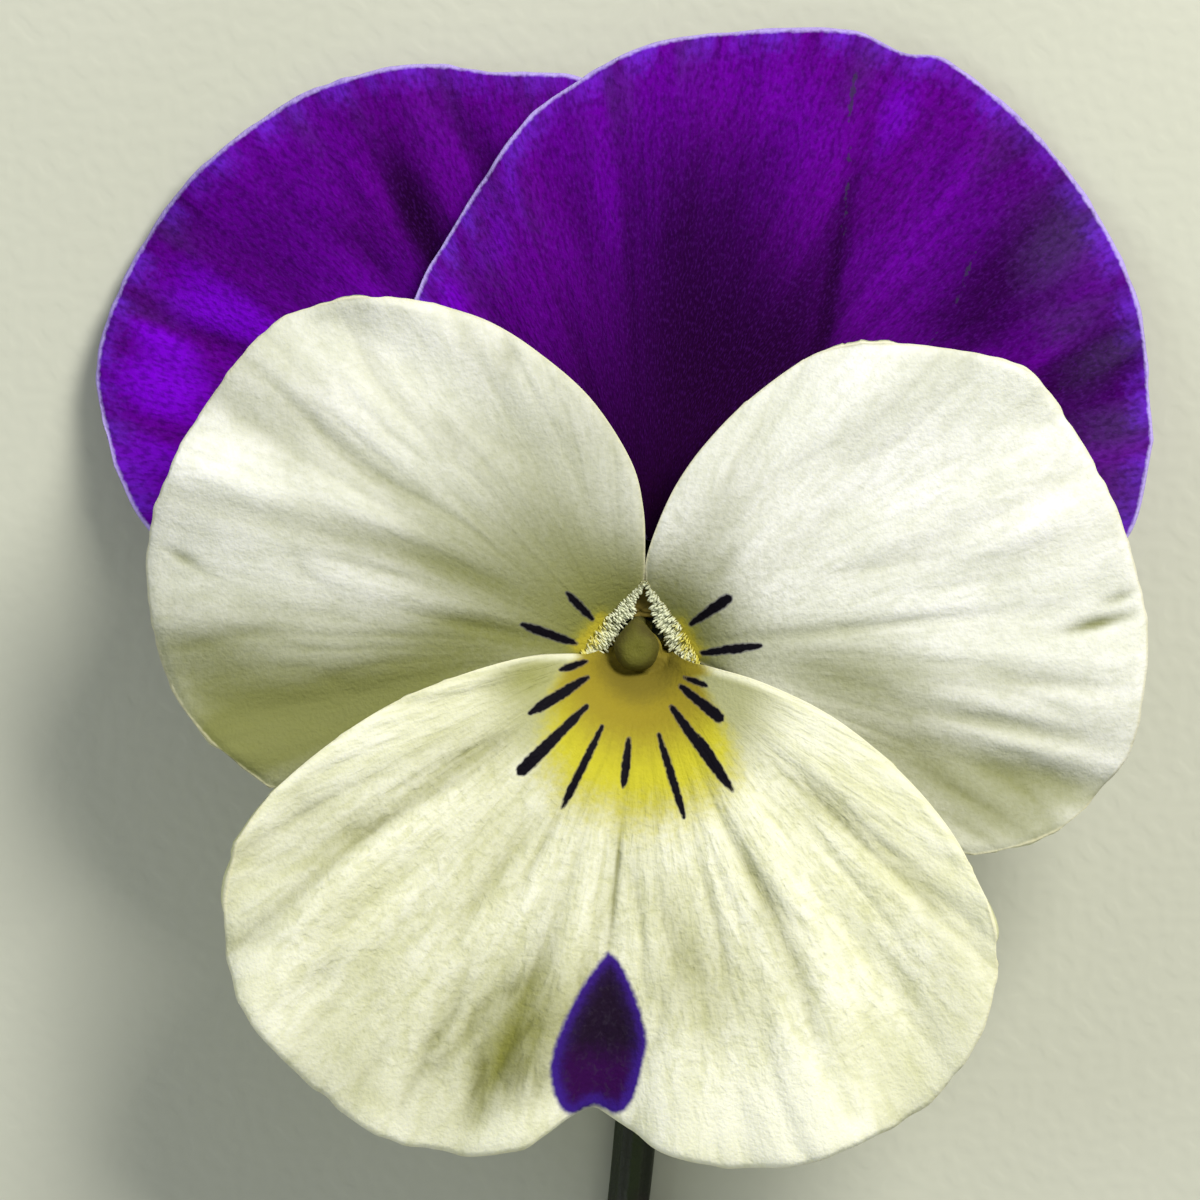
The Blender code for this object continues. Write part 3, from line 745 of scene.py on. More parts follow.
def tube_piece(name: str, line: Array, sizes: Array, around: int,
               measures: Optional[dict[Measure, Array]] = None) -> Piece:
    """Rolls a grid primitive into a tube with closed ends.

    Args:
        name: the piece's name.
        line: the middle line in millimetres, one row per ring.
        sizes: half width and half depth of each ring, or one such pair per ring and point round it.
        around: points round the tube.
        measures: values per ring to keep.

    Returns:
        The tube, its seam joined and its faces turned outwards.
    """
    rows = len(line) - 1
    piece, across, along = grid_piece(name, around, rows)
    ring = np.rint(along * rows).astype(int)
    sideways, upward = frame_across(unit(np.gradient(line, axis=0)))
    angle = 2 * math.pi * across
    if sizes.ndim == 3:
        size = sizes[ring, np.rint(across * around).astype(int) % around]
    else:
        size = sizes[ring]
    points = (line[ring] + size[:, :1] * np.cos(angle)[:, None] * sideways[ring]
              + size[:, 1:] * np.sin(angle)[:, None] * upward[ring])
    move_points(piece, points)
    keep_fan(piece, across, along)
    keep_measures(piece, {measure: np.asarray(values)[ring] for measure, values in (measures or {}).items()})
    merge_seams(piece)
    turn_outwards(piece)
    return piece


def join_pieces(first: Piece, others: Sequence[Piece]) -> None:
    """Makes other pieces part of the first one.

    Args:
        first: the piece that stays.
        others: the pieces that join it.
    """
    only(first)
    for other in others:
        other.select_set(True)
    bpy.ops.object.join()


def finish_piece(piece: Piece, finish: Tissue, slot: Slot, stands_for: Sequence[str] = ()) -> None:
    """Gives a piece its finish, hangs it on the body and hides the solids that it replaces.

    Args:
        piece: the finished piece.
        finish: its tissue.
        slot: the record's material slot; not used.
        stands_for: the solids' nodes that it replaces.
    """
    only(piece)
    bpy.ops.object.shade_smooth()
    piece.data.materials.clear()
    piece.data.materials.append(finish.material())
    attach(piece, BODY)
    if stands_for:
        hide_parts(*stands_for)
    LOG.info("%s: %d faces, finish %s", piece.name, len(piece.data.polygons), finish.name)


@dataclass(frozen=True)
class Whisker:
    """A dark stroke of a petal's nectar guide, from its inner to its outer end."""

    inner: Point
    outer: Point
    width: float
    blunt: bool = False

    STATIONS = (0.0, 0.2, 0.55, 0.85, 1.0)
    POINTED = (0.45, 0.85, 1.05, 0.9, 0.35)
    BLUNT = (0.4, 0.75, 1.0, 1.15, 1.0)
    CORNER = 0.1                    # radius of a blunt end's corners
    ROUNDING = 0.04                 # how far before its end a blunt one starts to round off

    def depth(self, points: Array) -> Array:
        """Works out how deep plan points lie inside the stroke.

        Args:
            points: the points, one row each.

        Returns:
            One depth per point, negative outside.
        """
        start, end = np.array(self.inner), np.array(self.outer)
        run = end - start
        along = (points - start) @ run / (run @ run)
        share = np.clip(along, 0.0, 1.0)
        half = 0.5 * self.width * np.interp(share, self.STATIONS, self.BLUNT if self.blunt else self.POINTED)
        beside = np.abs((points - start) @ np.array([-run[1], run[0]])) / np.linalg.norm(run)
        beyond = np.maximum(along - 1.0, -along) * np.linalg.norm(run)
        if not self.blunt:
            return half - np.hypot(beside, np.maximum(beyond, 0.0))
        corner = np.minimum(half, self.CORNER)
        out_of = np.maximum(beside - half + corner, 0.0), np.maximum(beyond + self.ROUNDING, 0.0)
        return corner - np.hypot(*out_of) + np.maximum(half - corner - beside, 0.0)


@dataclass(frozen=True)
class Fold:
    """A soft hollow of a blade, or a ridge where depth is negative, longer one way than the other."""

    x: float
    y: float
    direction: float
    length: float
    width: float
    depth: float
    # painted shade laid along the fold; below 0, painted light
    shade: float

    def share(self, plan: Array) -> Array:
        """Works out how far plan points lie in the fold.

        Args:
            plan: plan points, one row each.

        Returns:
            For each point, 1 in the middle of the fold, falling to nothing round it.
        """
        turn = math.radians(self.direction)
        run = np.array([math.cos(turn), math.sin(turn)])
        away = plan - np.array([self.x, self.y])
        return np.exp(-(away @ run / self.length) ** 2 - (away @ np.array([-run[1], run[0]]) / self.width) ** 2)


def folds(*rows: tuple[float, ...]) -> tuple[Fold, ...]:
    """Folds from rows of x, y, direction, length, width, depth and painted shade (painted light where below 0)."""
    return tuple(Fold(*row) for row in rows)


@dataclass
class Petal:
    """A petal: one thin waved blade between an inner end, two edges and a margin, with its claw."""

    name: str
    node: str
    left_edge: Outline
    margin: Outline
    right_edge: Outline
    claw: tuple[Spot, Spot]         # its foot and its top
    waves: tuple[tuple[int, float, float], ...]
    seed: int
    curl: float = 0.0
    thickness: float = 0.26
    columns: int = 200
    rows: int = 160
    wrinkle: float = 0.11
    crimp: float = 0.05
    rim_roll: float = 0.09
    rim_reach: float = 0.4
    # painted shade over the whole blade, added to that of its folds and wrinkle valleys
    shade: float = 0.15
    focus: Point = (0.0, 0.3)
    heading: float = -90.0
    fan_reach: float = 16.0
    folds: tuple[Fold, ...] = ()
    claw_eye: float = FAR_INSIDE
    finish: Tissue = CREAM
    slot: Slot = Slot.CREAM_PETAL
    whiskers: tuple[Whisker, ...] = ()
    lines: dict[str, SmoothLine] = field(default_factory=dict)

    CRIMPS = (26, 61)               # bumps along the margin, large and small
    WRINKLES = (16, 40, 84)         # wrinkles round the whole fan, broad, small and tiny
    CLAW_SIZE = (0.42, 0.3)

    def __post_init__(self) -> None:
        """Runs smooth lines through the outline."""
        self.lines = {key: SmoothLine(getattr(self, key)) for key in ("left_edge", "margin", "right_edge")}

    def inner_end(self, across: Array) -> Array:
        """Plan points on the inner end of the blade."""
        ends = np.array([self.left_edge[0], self.right_edge[0]], float)
        return ends[0] + (ends[1] - ends[0]) * across[:, None]

    def plan(self, across: Array, along: Array) -> Array:
        """Lays out the blade as a patch between its inner end, its edges and its margin.

        Args:
            across: how far across the petal each point lies, from 0 to 1.
            along: how far along the petal each point lies, from 0 to 1.

        Returns:
            Plan points, one row each.
        """
        a, s = across[:, None], along[:, None]
        margin = self.lines["margin"]
        inner = self.inner_end(np.array([0.0, 1.0]))
        outer = margin.at(np.array([0.0, 1.0]))
        corners = (1 - s) * ((1 - a) * inner[0] + a * inner[1]) + s * ((1 - a) * outer[0] + a * outer[1])
        large, small = self.CRIMPS
        crimped = (wavy(across * large, along * 0 + 3.5, self.seed + 40)
                   + 0.6 * wavy(across * small, along * 0, self.seed))
        crimped *= smoothstep(0.0, 0.05, across) * smoothstep(1.0, 0.95, across)
        outward = unit(margin.at(across) - self.inner_end(across))
        return ((1 - a) * self.lines["left_edge"].at(along) + a * self.lines["right_edge"].at(along)
                + (1 - s) * self.inner_end(across) + s * margin.at(across) - corners
                + self.crimp * (crimped * along ** 6)[:, None] * outward)

    def front(self, x: Array, y: Array) -> Array:
        """Height of the front face over plan points."""
        raise NotImplementedError

    def creases(self, across: Array, along: Array) -> Array:
        """Height of the creases that this petal alone has."""
        return np.zeros_like(across)

    def fan(self, plan: Array) -> tuple[Array, Array]:
        """Places plan points in the fan of veins.

        Args:
            plan: plan points, one row each.

        Returns:
            Half turns from the petal's main direction, and distance as a share of its reach.
        """
        main = math.radians(self.heading)
        away = plan - np.array(self.focus)
        ahead = away @ np.array([math.cos(main), math.sin(main)])
        beside = away @ np.array([-math.sin(main), math.cos(main)])
        return np.arctan2(beside, ahead) / math.pi, np.hypot(ahead, beside) / self.fan_reach

    def wrinkles(self, plan: Array) -> Array:
        """Works out the wrinkles along the veins: broad crests between sharp valleys.

        Args:
            plan: plan points, one row each.

        Returns:
            One height per point.
        """
        turn, reach = self.fan(plan)
        broad_count, small_count, tiny_count = self.WRINKLES
        warp = 0.4 * wavy(turn * 6 + 20, reach * 3, self.seed + 7)
        broad = ridged(wavy(turn * broad_count + warp, reach * 1.3, self.seed + 1))
        small = ridged(wavy(turn * small_count + 2 * warp, reach * 3.5 + turn * 3, self.seed + 2))
        tiny = wavy(turn * tiny_count + 3 * warp, reach * 12, self.seed + 3)
        return self.wrinkle * (smoothstep(0.15, 0.6, reach) * broad + 0.5 * smoothstep(0.2, 0.7, reach) * small
                               + 0.22 * smoothstep(0.3, 0.9, reach) * tiny)

    def relief(self, plan: Array, across: Array, along: Array) -> Array:
        """Works out all that stands out of the smooth face: waves, wrinkles, creases and folds.

        Args:
            plan: plan points, one row each.
            across: how far across the petal each point lies, from 0 to 1.
            along: how far along the petal each point lies, from 0 to 1.

        Returns:
            One height per point.
        """
        broad = sum(height * np.sin(2 * math.pi * (count * across + phase)) for count, height, phase in self.waves)
        return (along ** 2 * broad + self.wrinkles(plan) + self.creases(across, along)
                - sum(fold.depth * fold.share(plan) for fold in self.folds))

    def surface(self, across: Array, along: Array) -> Array:
        """Works out the front face.

        Args:
            across: how far across the petal each point lies, from 0 to 1.
            along: how far along the petal each point lies, from 0 to 1.

        Returns:
            Its points in millimetres, one row each.
        """
        plan = self.plan(across, along)
        height = (self.front(*plan.T) + self.relief(plan, across, along)
                  - self.curl * along ** 4 * np.sin(math.pi * across))
        return np.column_stack([plan, height])

    def shading(self, plan: Array, across: Array, along: Array) -> Array:
        """How much painted shade each point gets: in its folds, and in the valleys of its wrinkles; below 0, painted
        light.
        """
        valleys = self.wrinkles(plan) + self.creases(across, along)
        return self.shade + sum(fold.shade * fold.share(plan) for fold in self.folds) - 1.8 * valleys

    def outline_distance(self, plan: Array) -> Array:
        """How far inside the outline each plan point lies."""
        shares = np.linspace(0.0, 1.0, 90)
        return np.min([distance_to(plan, line.at(shares)) for line in self.lines.values()], axis=0)

    def eye(self, plan: Array) -> Array:
        """Share of the way from the middle of the yellow eye to its border."""
        return np.full(len(plan), FAR_INSIDE)

    def measures(self, points: Array, across: Array, along: Array) -> dict[Measure, Array]:
        """Works out what the finish reads at points of the front face.

        Args:
            points: the points, one row each.
            across: how far across the petal each point lies, from 0 to 1.
            along: how far along the petal each point lies, from 0 to 1.

        Returns:
            Values per point, by measure.
        """
        plan = points[:, :2]
        marks = [whisker.depth(plan) for whisker in self.whiskers]
        return {
            EDGE: self.outline_distance(plan),
            THROAT: np.hypot(plan[:, 0], plan[:, 1] - MIDDLE_Y),
            EYE: self.eye(plan),
            WHISKER: np.max(marks, axis=0) if marks else np.full(len(plan), -FAR_INSIDE),
            SHADE: self.shading(plan, across, along),
        }

    def place(self, across: Array, along: Array) -> tuple[Array, Array]:
        """Points of the front face, and the share along the blade of each."""
        return self.surface(across, along), along

    def build_claw(self) -> Piece:
        """Builds the narrow foot that joins the blade to the receptacle.

        Returns:
            The piece.
        """
        foot, top = np.array(self.claw, float)
        share = np.linspace(0.0, 1.0, 15)[:, None]
        rounded = np.sqrt(np.clip(1 - (2 * share - 1) ** 12, 0.0, 1.0))
        size = np.array(self.CLAW_SIZE) * (1.1 - 0.35 * share) * rounded
        piece = tube_piece(self.name + "_claw", foot + (top - foot) * share, size, 16)
        # The claw, deep in the throat, gets painted shade of one half.
        keep_measures(piece, {EDGE: FAR_INSIDE, THROAT: 1.0, EYE: self.claw_eye,
                              WHISKER: -FAR_INSIDE, BLOTCH: -FAR_INSIDE, SHADE: 0.5, BACK: 1.0})
        return piece

    def build(self) -> Piece:
        """Builds the petal and dresses it.

        Returns:
            The finished piece.
        """
        piece, across, along = grid_piece(self.name, self.columns, self.rows)
        points, blade = self.place(across, along)
        measures = self.measures(points, across, np.clip(blade, 0.0, 1.0))
        rim = 1.0 - smoothstep(0.0, self.rim_reach, measures[EDGE])
        points[:, 2] -= self.rim_roll * rim ** 2
        move_points(piece, points)
        keep_fan(piece, *self.fan(points[:, :2]))
        keep_measures(piece, measures)
        merge_seams(piece)
        front = len(piece.data.vertices)
        apply_modifier(piece, "SOLIDIFY", thickness=self.thickness * MM, offset=-1.0, use_rim=True)
        keep_measures(piece, {BACK: (np.arange(len(piece.data.vertices)) >= front).astype(float)})
        join_pieces(piece, [self.build_claw()])
        finish_piece(piece, self.finish, self.slot, [self.node])
        return piece


@dataclass
class UpperPetal(Petal):
    """One of the two purple petals that lean back at the top."""

    stagger: float = 1.0            # 1 for the one in front, -1 for the one behind
    step: float = 0.62
    height: float = 6.5
    lean: float = 0.235
    bow: float = 0.0105
    # a line along the margin where a painted slate-grey sheen haze lies, and how far it reaches
    sheen_haze_line: Outline = ()
    sheen_haze_size: float = 2.6

    def eye(self, plan: Array) -> Array:
        """Works out the painted reflection, a slate-grey sheen haze along a part of the margin, where the petal has
        one.

        Args:
            plan: plan points, one row each.

        Returns:
            Share of the way out of the haze, per point.
        """
        if not self.sheen_haze_line:
            return super().eye(plan)
        return distance_to(plan, np.array(self.sheen_haze_line)) / self.sheen_haze_size

    def front(self, x: Array, y: Array) -> Array:
        """Height of the front face, which leans back to the surface."""
        overlap = smoothstep(11.0, 4.0, self.stagger * x)
        return self.height - self.lean * (y - 2.0) - self.bow * x * x + self.stagger * self.step * overlap


@dataclass
class SidePetal(Petal):
    """One of the two cream petals at the sides of the throat."""

    eye_line: Outline = ((0.0, 0.0), (0.0, 1.0))
    eye_size: float = 0.5
    reach: float = 16.0
    height: float = 8.65
    corner_rise: float = 1.3        # how much higher the upper outer corner lies
    corner_up: Point = (-2.0, 9.0)  # between which heights on the face it rises
    corner_out: Point = (3.0, 14.0)     # and between which distances to the side
    throat_depth: float = 2.2
    throat_width: float = 1.8

    def front(self, x: Array, y: Array) -> Array:
        """Works out the smooth front face, nearly level and drawn down into the throat.

        Args:
            x: first plan coordinate of each point.
            y: second plan coordinate of each point.

        Returns:
            One height per point.
        """
        throat = np.maximum(np.hypot(x, y - MIDDLE_Y) - 1.0, 0.0)
        rise = self.corner_rise * smoothstep(*self.corner_up, y) * smoothstep(*self.corner_out, np.abs(x))
        return self.height + rise - self.throat_depth / (1.0 + (throat / self.throat_width) ** 2)

    def eye(self, plan: Array) -> Array:
        """A small yellow patch beside the lower half of the beard."""
        return distance_to(plan, np.array(self.eye_line)) / self.eye_size


@dataclass
class LowerPetal(Petal):
    """The broad lower petal, whose claw is rolled into the hollow spur."""

    mouth: Spot = (-0.05, -0.02, 6.75)
    bend: Spot = (0.0, -1.1, 3.2)
    tip: Spot = (-2.1, -7.4, 1.75)
    mouth_radius: float = 0.54
    tip_radius: float = 0.5
    spur_rows: int = 64
    notch: Point = (-1.5, -14.92)
    blotch: Outline = ()
    height: float = 9.95
    trough: float = 1.5             # over how many millimetres the face levels out round the mouth
    shoulder_dip: float = 0.8       # how much lower it lies beside the mouth and above it
    crease_depth: float = 0.045
    crease_width: float = 0.004

    EYE_MIDDLE = (-0.15, MIDDLE_Y)
    EYE_TURNS = (0.0, 40.0, 56.0, 74.0, 92.0, 180.0)    # degrees from straight down
    EYE_REACH = (5.4, 4.8, 3.5, 2.4, 1.9, 1.4)

    def spur_ring(self, across: Array, down: Array) -> Array:
        """Works out points on the spur's inner wall.

        Args:
            across: how far round the wall each point lies, from 0 to 1.
            down: how far down each lies, from 0 at the mouth to 1 at the tip.

        Returns:
            The points, one row each.
        """
        mouth, bend, tip = (np.array(point) for point in (self.mouth, self.bend, self.tip))
        t = down[:, None]
        centre = (1 - t) ** 2 * mouth + 2 * (1 - t) * t * bend + t ** 2 * tip
        sideways, upward = frame_across(unit(2 * (1 - t) * (bend - mouth) + 2 * t * (tip - bend)))
        upward[:, 2] *= smoothstep(0.0, 0.25, down)
        radius = self.mouth_radius + (self.tip_radius - self.mouth_radius) * down
        radius = radius * np.sqrt(np.clip(1.0 - smoothstep(0.84, 1.0, down) ** 2, 0.0, 1.0))
        angle = math.pi / 2 - 2 * math.pi * across
        return centre + radius[:, None] * (np.cos(angle)[:, None] * sideways + np.sin(angle)[:, None] * upward)

    def inner_end(self, across: Array) -> Array:
        """Plan points on the spur's mouth."""
        return self.spur_ring(across, np.zeros_like(across))[:, :2]

    def front(self, x: Array, y: Array) -> Array:
        """Works out the smooth front face, a long trough that leads into the spur.

        Args:
            x: first plan coordinate of each point.
            y: second plan coordinate of each point.

        Returns:
            One height per point.
        """
        below = np.maximum(self.mouth[1] - y, 0.0)
        away = np.hypot(x - self.mouth[0], np.where(y < self.mouth[1], 0.8 * below, y - self.mouth[1]))
        level = self.mouth_radius + 0.5 * ((x - self.mouth[0]) / np.maximum(away, 0.3)) ** 2
        dip = self.shoulder_dip * smoothstep(0.56, 0.9, away) * smoothstep(-0.3, 0.2, y)
        sunk = (self.height - self.mouth[2]) * np.exp(-np.maximum(away - level, 0.0) / self.trough)
        return self.height - sunk - dip

    def creases(self, across: Array, along: Array) -> Array:
        """Works out the crease from the eye to the notch.

        Args:
            across: how far across the petal each point lies, from 0 to 1.
            along: how far along the petal each point lies, from 0 to 1.

        Returns:
            One height per point.
        """
        middle = across - self.lines["margin"].share_nearest(self.notch)
        window = smoothstep(0.12, 0.3, along)
        fading = window * (1 - 0.7 * smoothstep(0.55, 0.75, along))
        return -self.crease_depth * np.exp(-(middle / self.crease_width) ** 2) * fading

    def eye(self, plan: Array) -> Array:
        """Works out the yellow eye, which spreads down from the mouth with ragged fingers.

        Args:
            plan: plan points, one row each.

        Returns:
            Share of the way from its middle to its border, per point.
        """
        away = plan - np.array(self.EYE_MIDDLE)
        turn = np.degrees(np.arctan2(away[:, 0], -away[:, 1]))
        border = np.interp(np.abs(turn), self.EYE_TURNS, self.EYE_REACH)
        return np.hypot(*away.T) / (border * (1.0 + 0.13 * wavy(turn / 9.0 + 40, turn * 0, self.seed + 9)))

    def place(self, across: Array, along: Array) -> tuple[Array, Array]:
        """Places the front face and, in the first rows, the spur's inner wall.

        Args:
            across: how far across the petal each point lies, from 0 to 1.
            along: how far along the petal each point lies, from 0 to 1.

        Returns:
            The points, and how far along the blade each lies, below 0 in the spur.
        """
        row = along * self.rows
        blade = (row - self.spur_rows) / (self.rows - self.spur_rows)
        share = np.clip(blade, 0.0, 1.0) ** 1.2
        spur = self.spur_ring(across, np.clip(-blade * (self.rows - self.spur_rows) / self.spur_rows, 0.0, 1.0))
        return np.where(blade[:, None] > 0.0, self.surface(across, share), spur), np.where(blade > 0, share, blade)

    def measures(self, points: Array, across: Array, along: Array) -> dict[Measure, Array]:
        """Works out what the finish reads, with the blotch and the spur.

        Args:
            points: the points, one row each.
            across: how far across the petal each point lies, from 0 to 1.
            along: as place gives it, but 0 in the spur.

        Returns:
            Values per point, by measure.
        """
        made = super().measures(points, across, along)
        plan = points[:, :2]
        in_spur = along <= 0.0
        loop = SmoothLine(self.blotch + self.blotch[:1]).dense
        depth = distance_to(plan, loop)
        made[BLOTCH] = np.where(inside(plan, loop) & ~in_spur, depth, -depth)
        down = self.mouth[2] - points[:, 2]
        made[EDGE] = np.where(in_spur, FAR_INSIDE, made[EDGE])
        made[THROAT] = np.where(in_spur, -down, made[THROAT])
        made[EYE] = np.where(in_spur, np.maximum(0.2, 0.3 * down), made[EYE])
        made[WHISKER] = np.where(in_spur, -FAR_INSIDE, made[WHISKER])
        return made


UPPER_LEFT = UpperPetal(
    "upper_left_velvet_petal", "petal_upper_left",
    left_edge=((-2.3, 3.3), (-4.4, 2.0), (-7.4, 1.3), (-10.8, 1.3), (-14.2, 2.2), (-16.5, 4.1), (-17.6, 6.1)),
    margin=(
        (-17.6, 6.1), (-18.3, 9.3), (-17.4, 12.5), (-15.3, 15.7), (-12.2, 18.2), (-9.9, 19.2), (-7.3, 19.7),
        (-4.6, 19.4), (-1.9, 19.2), (0.6, 17.8), (2.2, 15.0)),
    right_edge=((-0.6, 4.3), (0.9, 5.4), (2.1, 7.2), (2.8, 9.6), (2.9, 12.2), (2.2, 15.0)),
    claw=((-1.1, 3.3, 4.5), (-1.35, 3.75, 5.1)), waves=((3, 0.16, 0.1), (5, 0.12, 0.4)), seed=11,
    finish=VELVET, slot=Slot.PURPLE_PETAL, stagger=-1.0, wrinkle=0.07, shade=0.0,
    focus=(-1.6, 4.2), heading=125.0,
    folds=folds(
        (-7.6, 14.9, -66, 3.4, 0.7, 0.3, 0.75), (-5.6, 17.0, -60, 2.3, 0.5, 0.2, 0.45),
        (-9.4, 14.6, -62, 2.8, 0.45, 0.15, 0.35), (-6.9, 13.0, -66, 2.6, 1.3, 0.1, 0.35),
        (-10.8, 11.4, -50, 3.0, 0.8, 0.1, 0.2), (-12.8, 9.0, -38, 2.6, 0.6, 0.15, 0.2),
        (-15.6, 7.2, -20, 1.8, 0.4, 0.12, 0.25), (-16.4, 10.6, -35, 1.2, 0.4, -0.1, -0.2),
        (-9.0, 17.4, -62, 1.6, 0.5, -0.12, -0.2), (-12.2, 14.2, -52, 3.6, 1.8, 0.0, 0.26),
        (-15.9, 8.8, 75, 4.2, 1.6, 0.0, -0.22), (-13.2, 11.0, -40, 2.6, 1.4, 0.0, -0.2),
        (-15.4, 4.0, 0, 3.0, 1.4, 0.0, -0.15)))

UPPER_RIGHT = UpperPetal(
    "upper_right_velvet_petal", "petal_upper_right",
    left_edge=((0.1, 3.7), (-1.2, 4.3), (-3.3, 5.5), (-5.6, 7.5), (-7.1, 9.5), (-7.5, 11.6)),
    margin=(
        (-7.5, 11.6), (-6.7, 13.3), (-4.0, 17.4), (-1.9, 19.1), (0.2, 20.2), (2.9, 20.7), (7.0, 20.8),
        (8.9, 20.1), (10.7, 19.7), (14.4, 16.3), (16.8, 11.8), (17.3, 7.0)),
    right_edge=((1.8, 3.2), (3.4, 2.7), (6.3, 1.8), (10.2, 1.3), (14.0, 1.9), (16.4, 3.8), (17.3, 7.0)),
    claw=((1.1, 3.4, 4.5), (1.1, 3.9, 6.4)), waves=((3, 0.16, 0.6), (6, 0.1, 0.2)), seed=12, curl=0.15,
    finish=VELVET, slot=Slot.PURPLE_PETAL, stagger=1.0, wrinkle=0.07, shade=0.04,
    focus=(0.2, 3.2), heading=65.0, sheen_haze_line=((14.6, 13.6), (16.6, 9.6), (16.8, 4.0)),
    whiskers=(Whisker((7.3, 19.4), (6.95, 17.4), 0.22), Whisker((7.1, 17.2), (6.8, 13.4), 0.13),
              Whisker((11.3, 13.4), (10.5, 11.2), 0.13), Whisker((10.1, 10.8), (9.2, 9.4), 0.1),
              Whisker((14.2, 8.8), (12.6, 7.6), 0.1)),
    folds=folds(
        (2.4, 10.8, 86, 6.2, 3.8, 0.1, 0.72), (6.7, 13.5, 79, 5.4, 0.3, 0.14, 0.35),
        (5.0, 8.0, 72, 4.5, 2.6, 0.0, 0.35), (12.3, 12.6, 48, 4.6, 2.0, 0.12, 0.75),
        (15.2, 9.0, 36, 3.8, 1.6, 0.1, 0.7), (10.2, 16.2, 58, 2.0, 0.35, 0.12, 0.25),
        (13.4, 9.6, 38, 1.5, 0.35, -0.12, -0.3), (8.6, 17.6, 60, 2.2, 1.1, -0.1, -0.1),
        (-5.6, 12.6, 60, 3.6, 1.0, 0.0, -0.2), (3.2, 18.6, 0, 3.2, 1.2, 0.0, -0.14),
        (-2.2, 14.6, 110, 2.4, 0.5, 0.08, 0.2), (10.0, 7.2, 30, 4.0, 1.2, 0.0, 0.3)))

SIDE_LEFT = SidePetal(
    "side_left_cream_petal", "petal_side_left",
    left_edge=((-1.62, -0.1), (-2.8, -0.6), (-4.6, -1.9), (-7.0, -3.7), (-9.7, -4.7), (-12.1, -4.5)),
    margin=(
        (-12.1, -4.5), (-14.1, -2.9), (-15.5, -0.8), (-16.1, 2.9), (-15.0, 6.5), (-12.3, 10.3), (-10.2, 11.3),
        (-8.4, 11.5), (-6.7, 11.3)),
    right_edge=((0.16, 2.25), (0.18, 3.0), (0.12, 4.6), (-0.3, 6.2), (-1.6, 8.2), (-3.3, 9.7), (-4.9, 10.7),
                (-6.7, 11.3)),
    claw=((-1.6, 1.75, 4.6), (-1.4, 1.6, 6.85)), waves=((2, 0.22, 0.3), (5, 0.15, 0.75)), seed=21, curl=0.5,
    wrinkle=0.075,
    whiskers=(Whisker((-1.56, 1.0), (-2.37, 1.85), 0.24), Whisker((-2.1, 0.2), (-3.85, 0.82), 0.27)),
    eye_line=((-1.95, 0.1), (-1.25, 0.95)), shade=0.32, focus=(-0.5, -0.15), heading=160.0,
    folds=folds(
        (-8.2, -1.3, 15, 5.5, 1.7, 0.1, 0.6), (-13.2, -2.0, 130, 4.2, 2.4, 0.0, 0.42),
        (-5.0, 2.2, 160, 4.5, 2.2, 0.0, 0.3), (-2.4, 3.6, 140, 3.2, 1.9, 0.0, 0.3),
        (-7.6, 1.75, 167, 3.6, 0.5, -0.08, -0.08), (-6.6, 2.9, 158, 2.6, 0.4, 0.1, 0.18),
        (-5.3, 0.75, 167, 2.2, 0.3, 0.12, 0.25), (-13.8, 5.9, 157, 2.4, 0.8, -0.15, -0.28),
        (-12.4, 7.3, 145, 2.0, 0.55, 0.1, 0.16), (-13.2, 4.6, 166, 3.0, 0.5, 0.09, 0.14),
        (-14.9, 3.0, 152, 0.6, 0.17, 0.08, 0.3), (-10.0, 3.6, 163, 2.4, 0.4, 0.08, 0.12),
        (-11.5, 1.2, 176, 2.8, 0.4, 0.08, 0.14), (-8.5, 5.4, 142, 3.0, 0.6, 0.06, 0.1),
        (-7.6, 9.4, 120, 3.2, 1.8, 0.0, -0.14), (-4.3, 9.4, 80, 0.6, 0.35, 0.08, 0.14)))

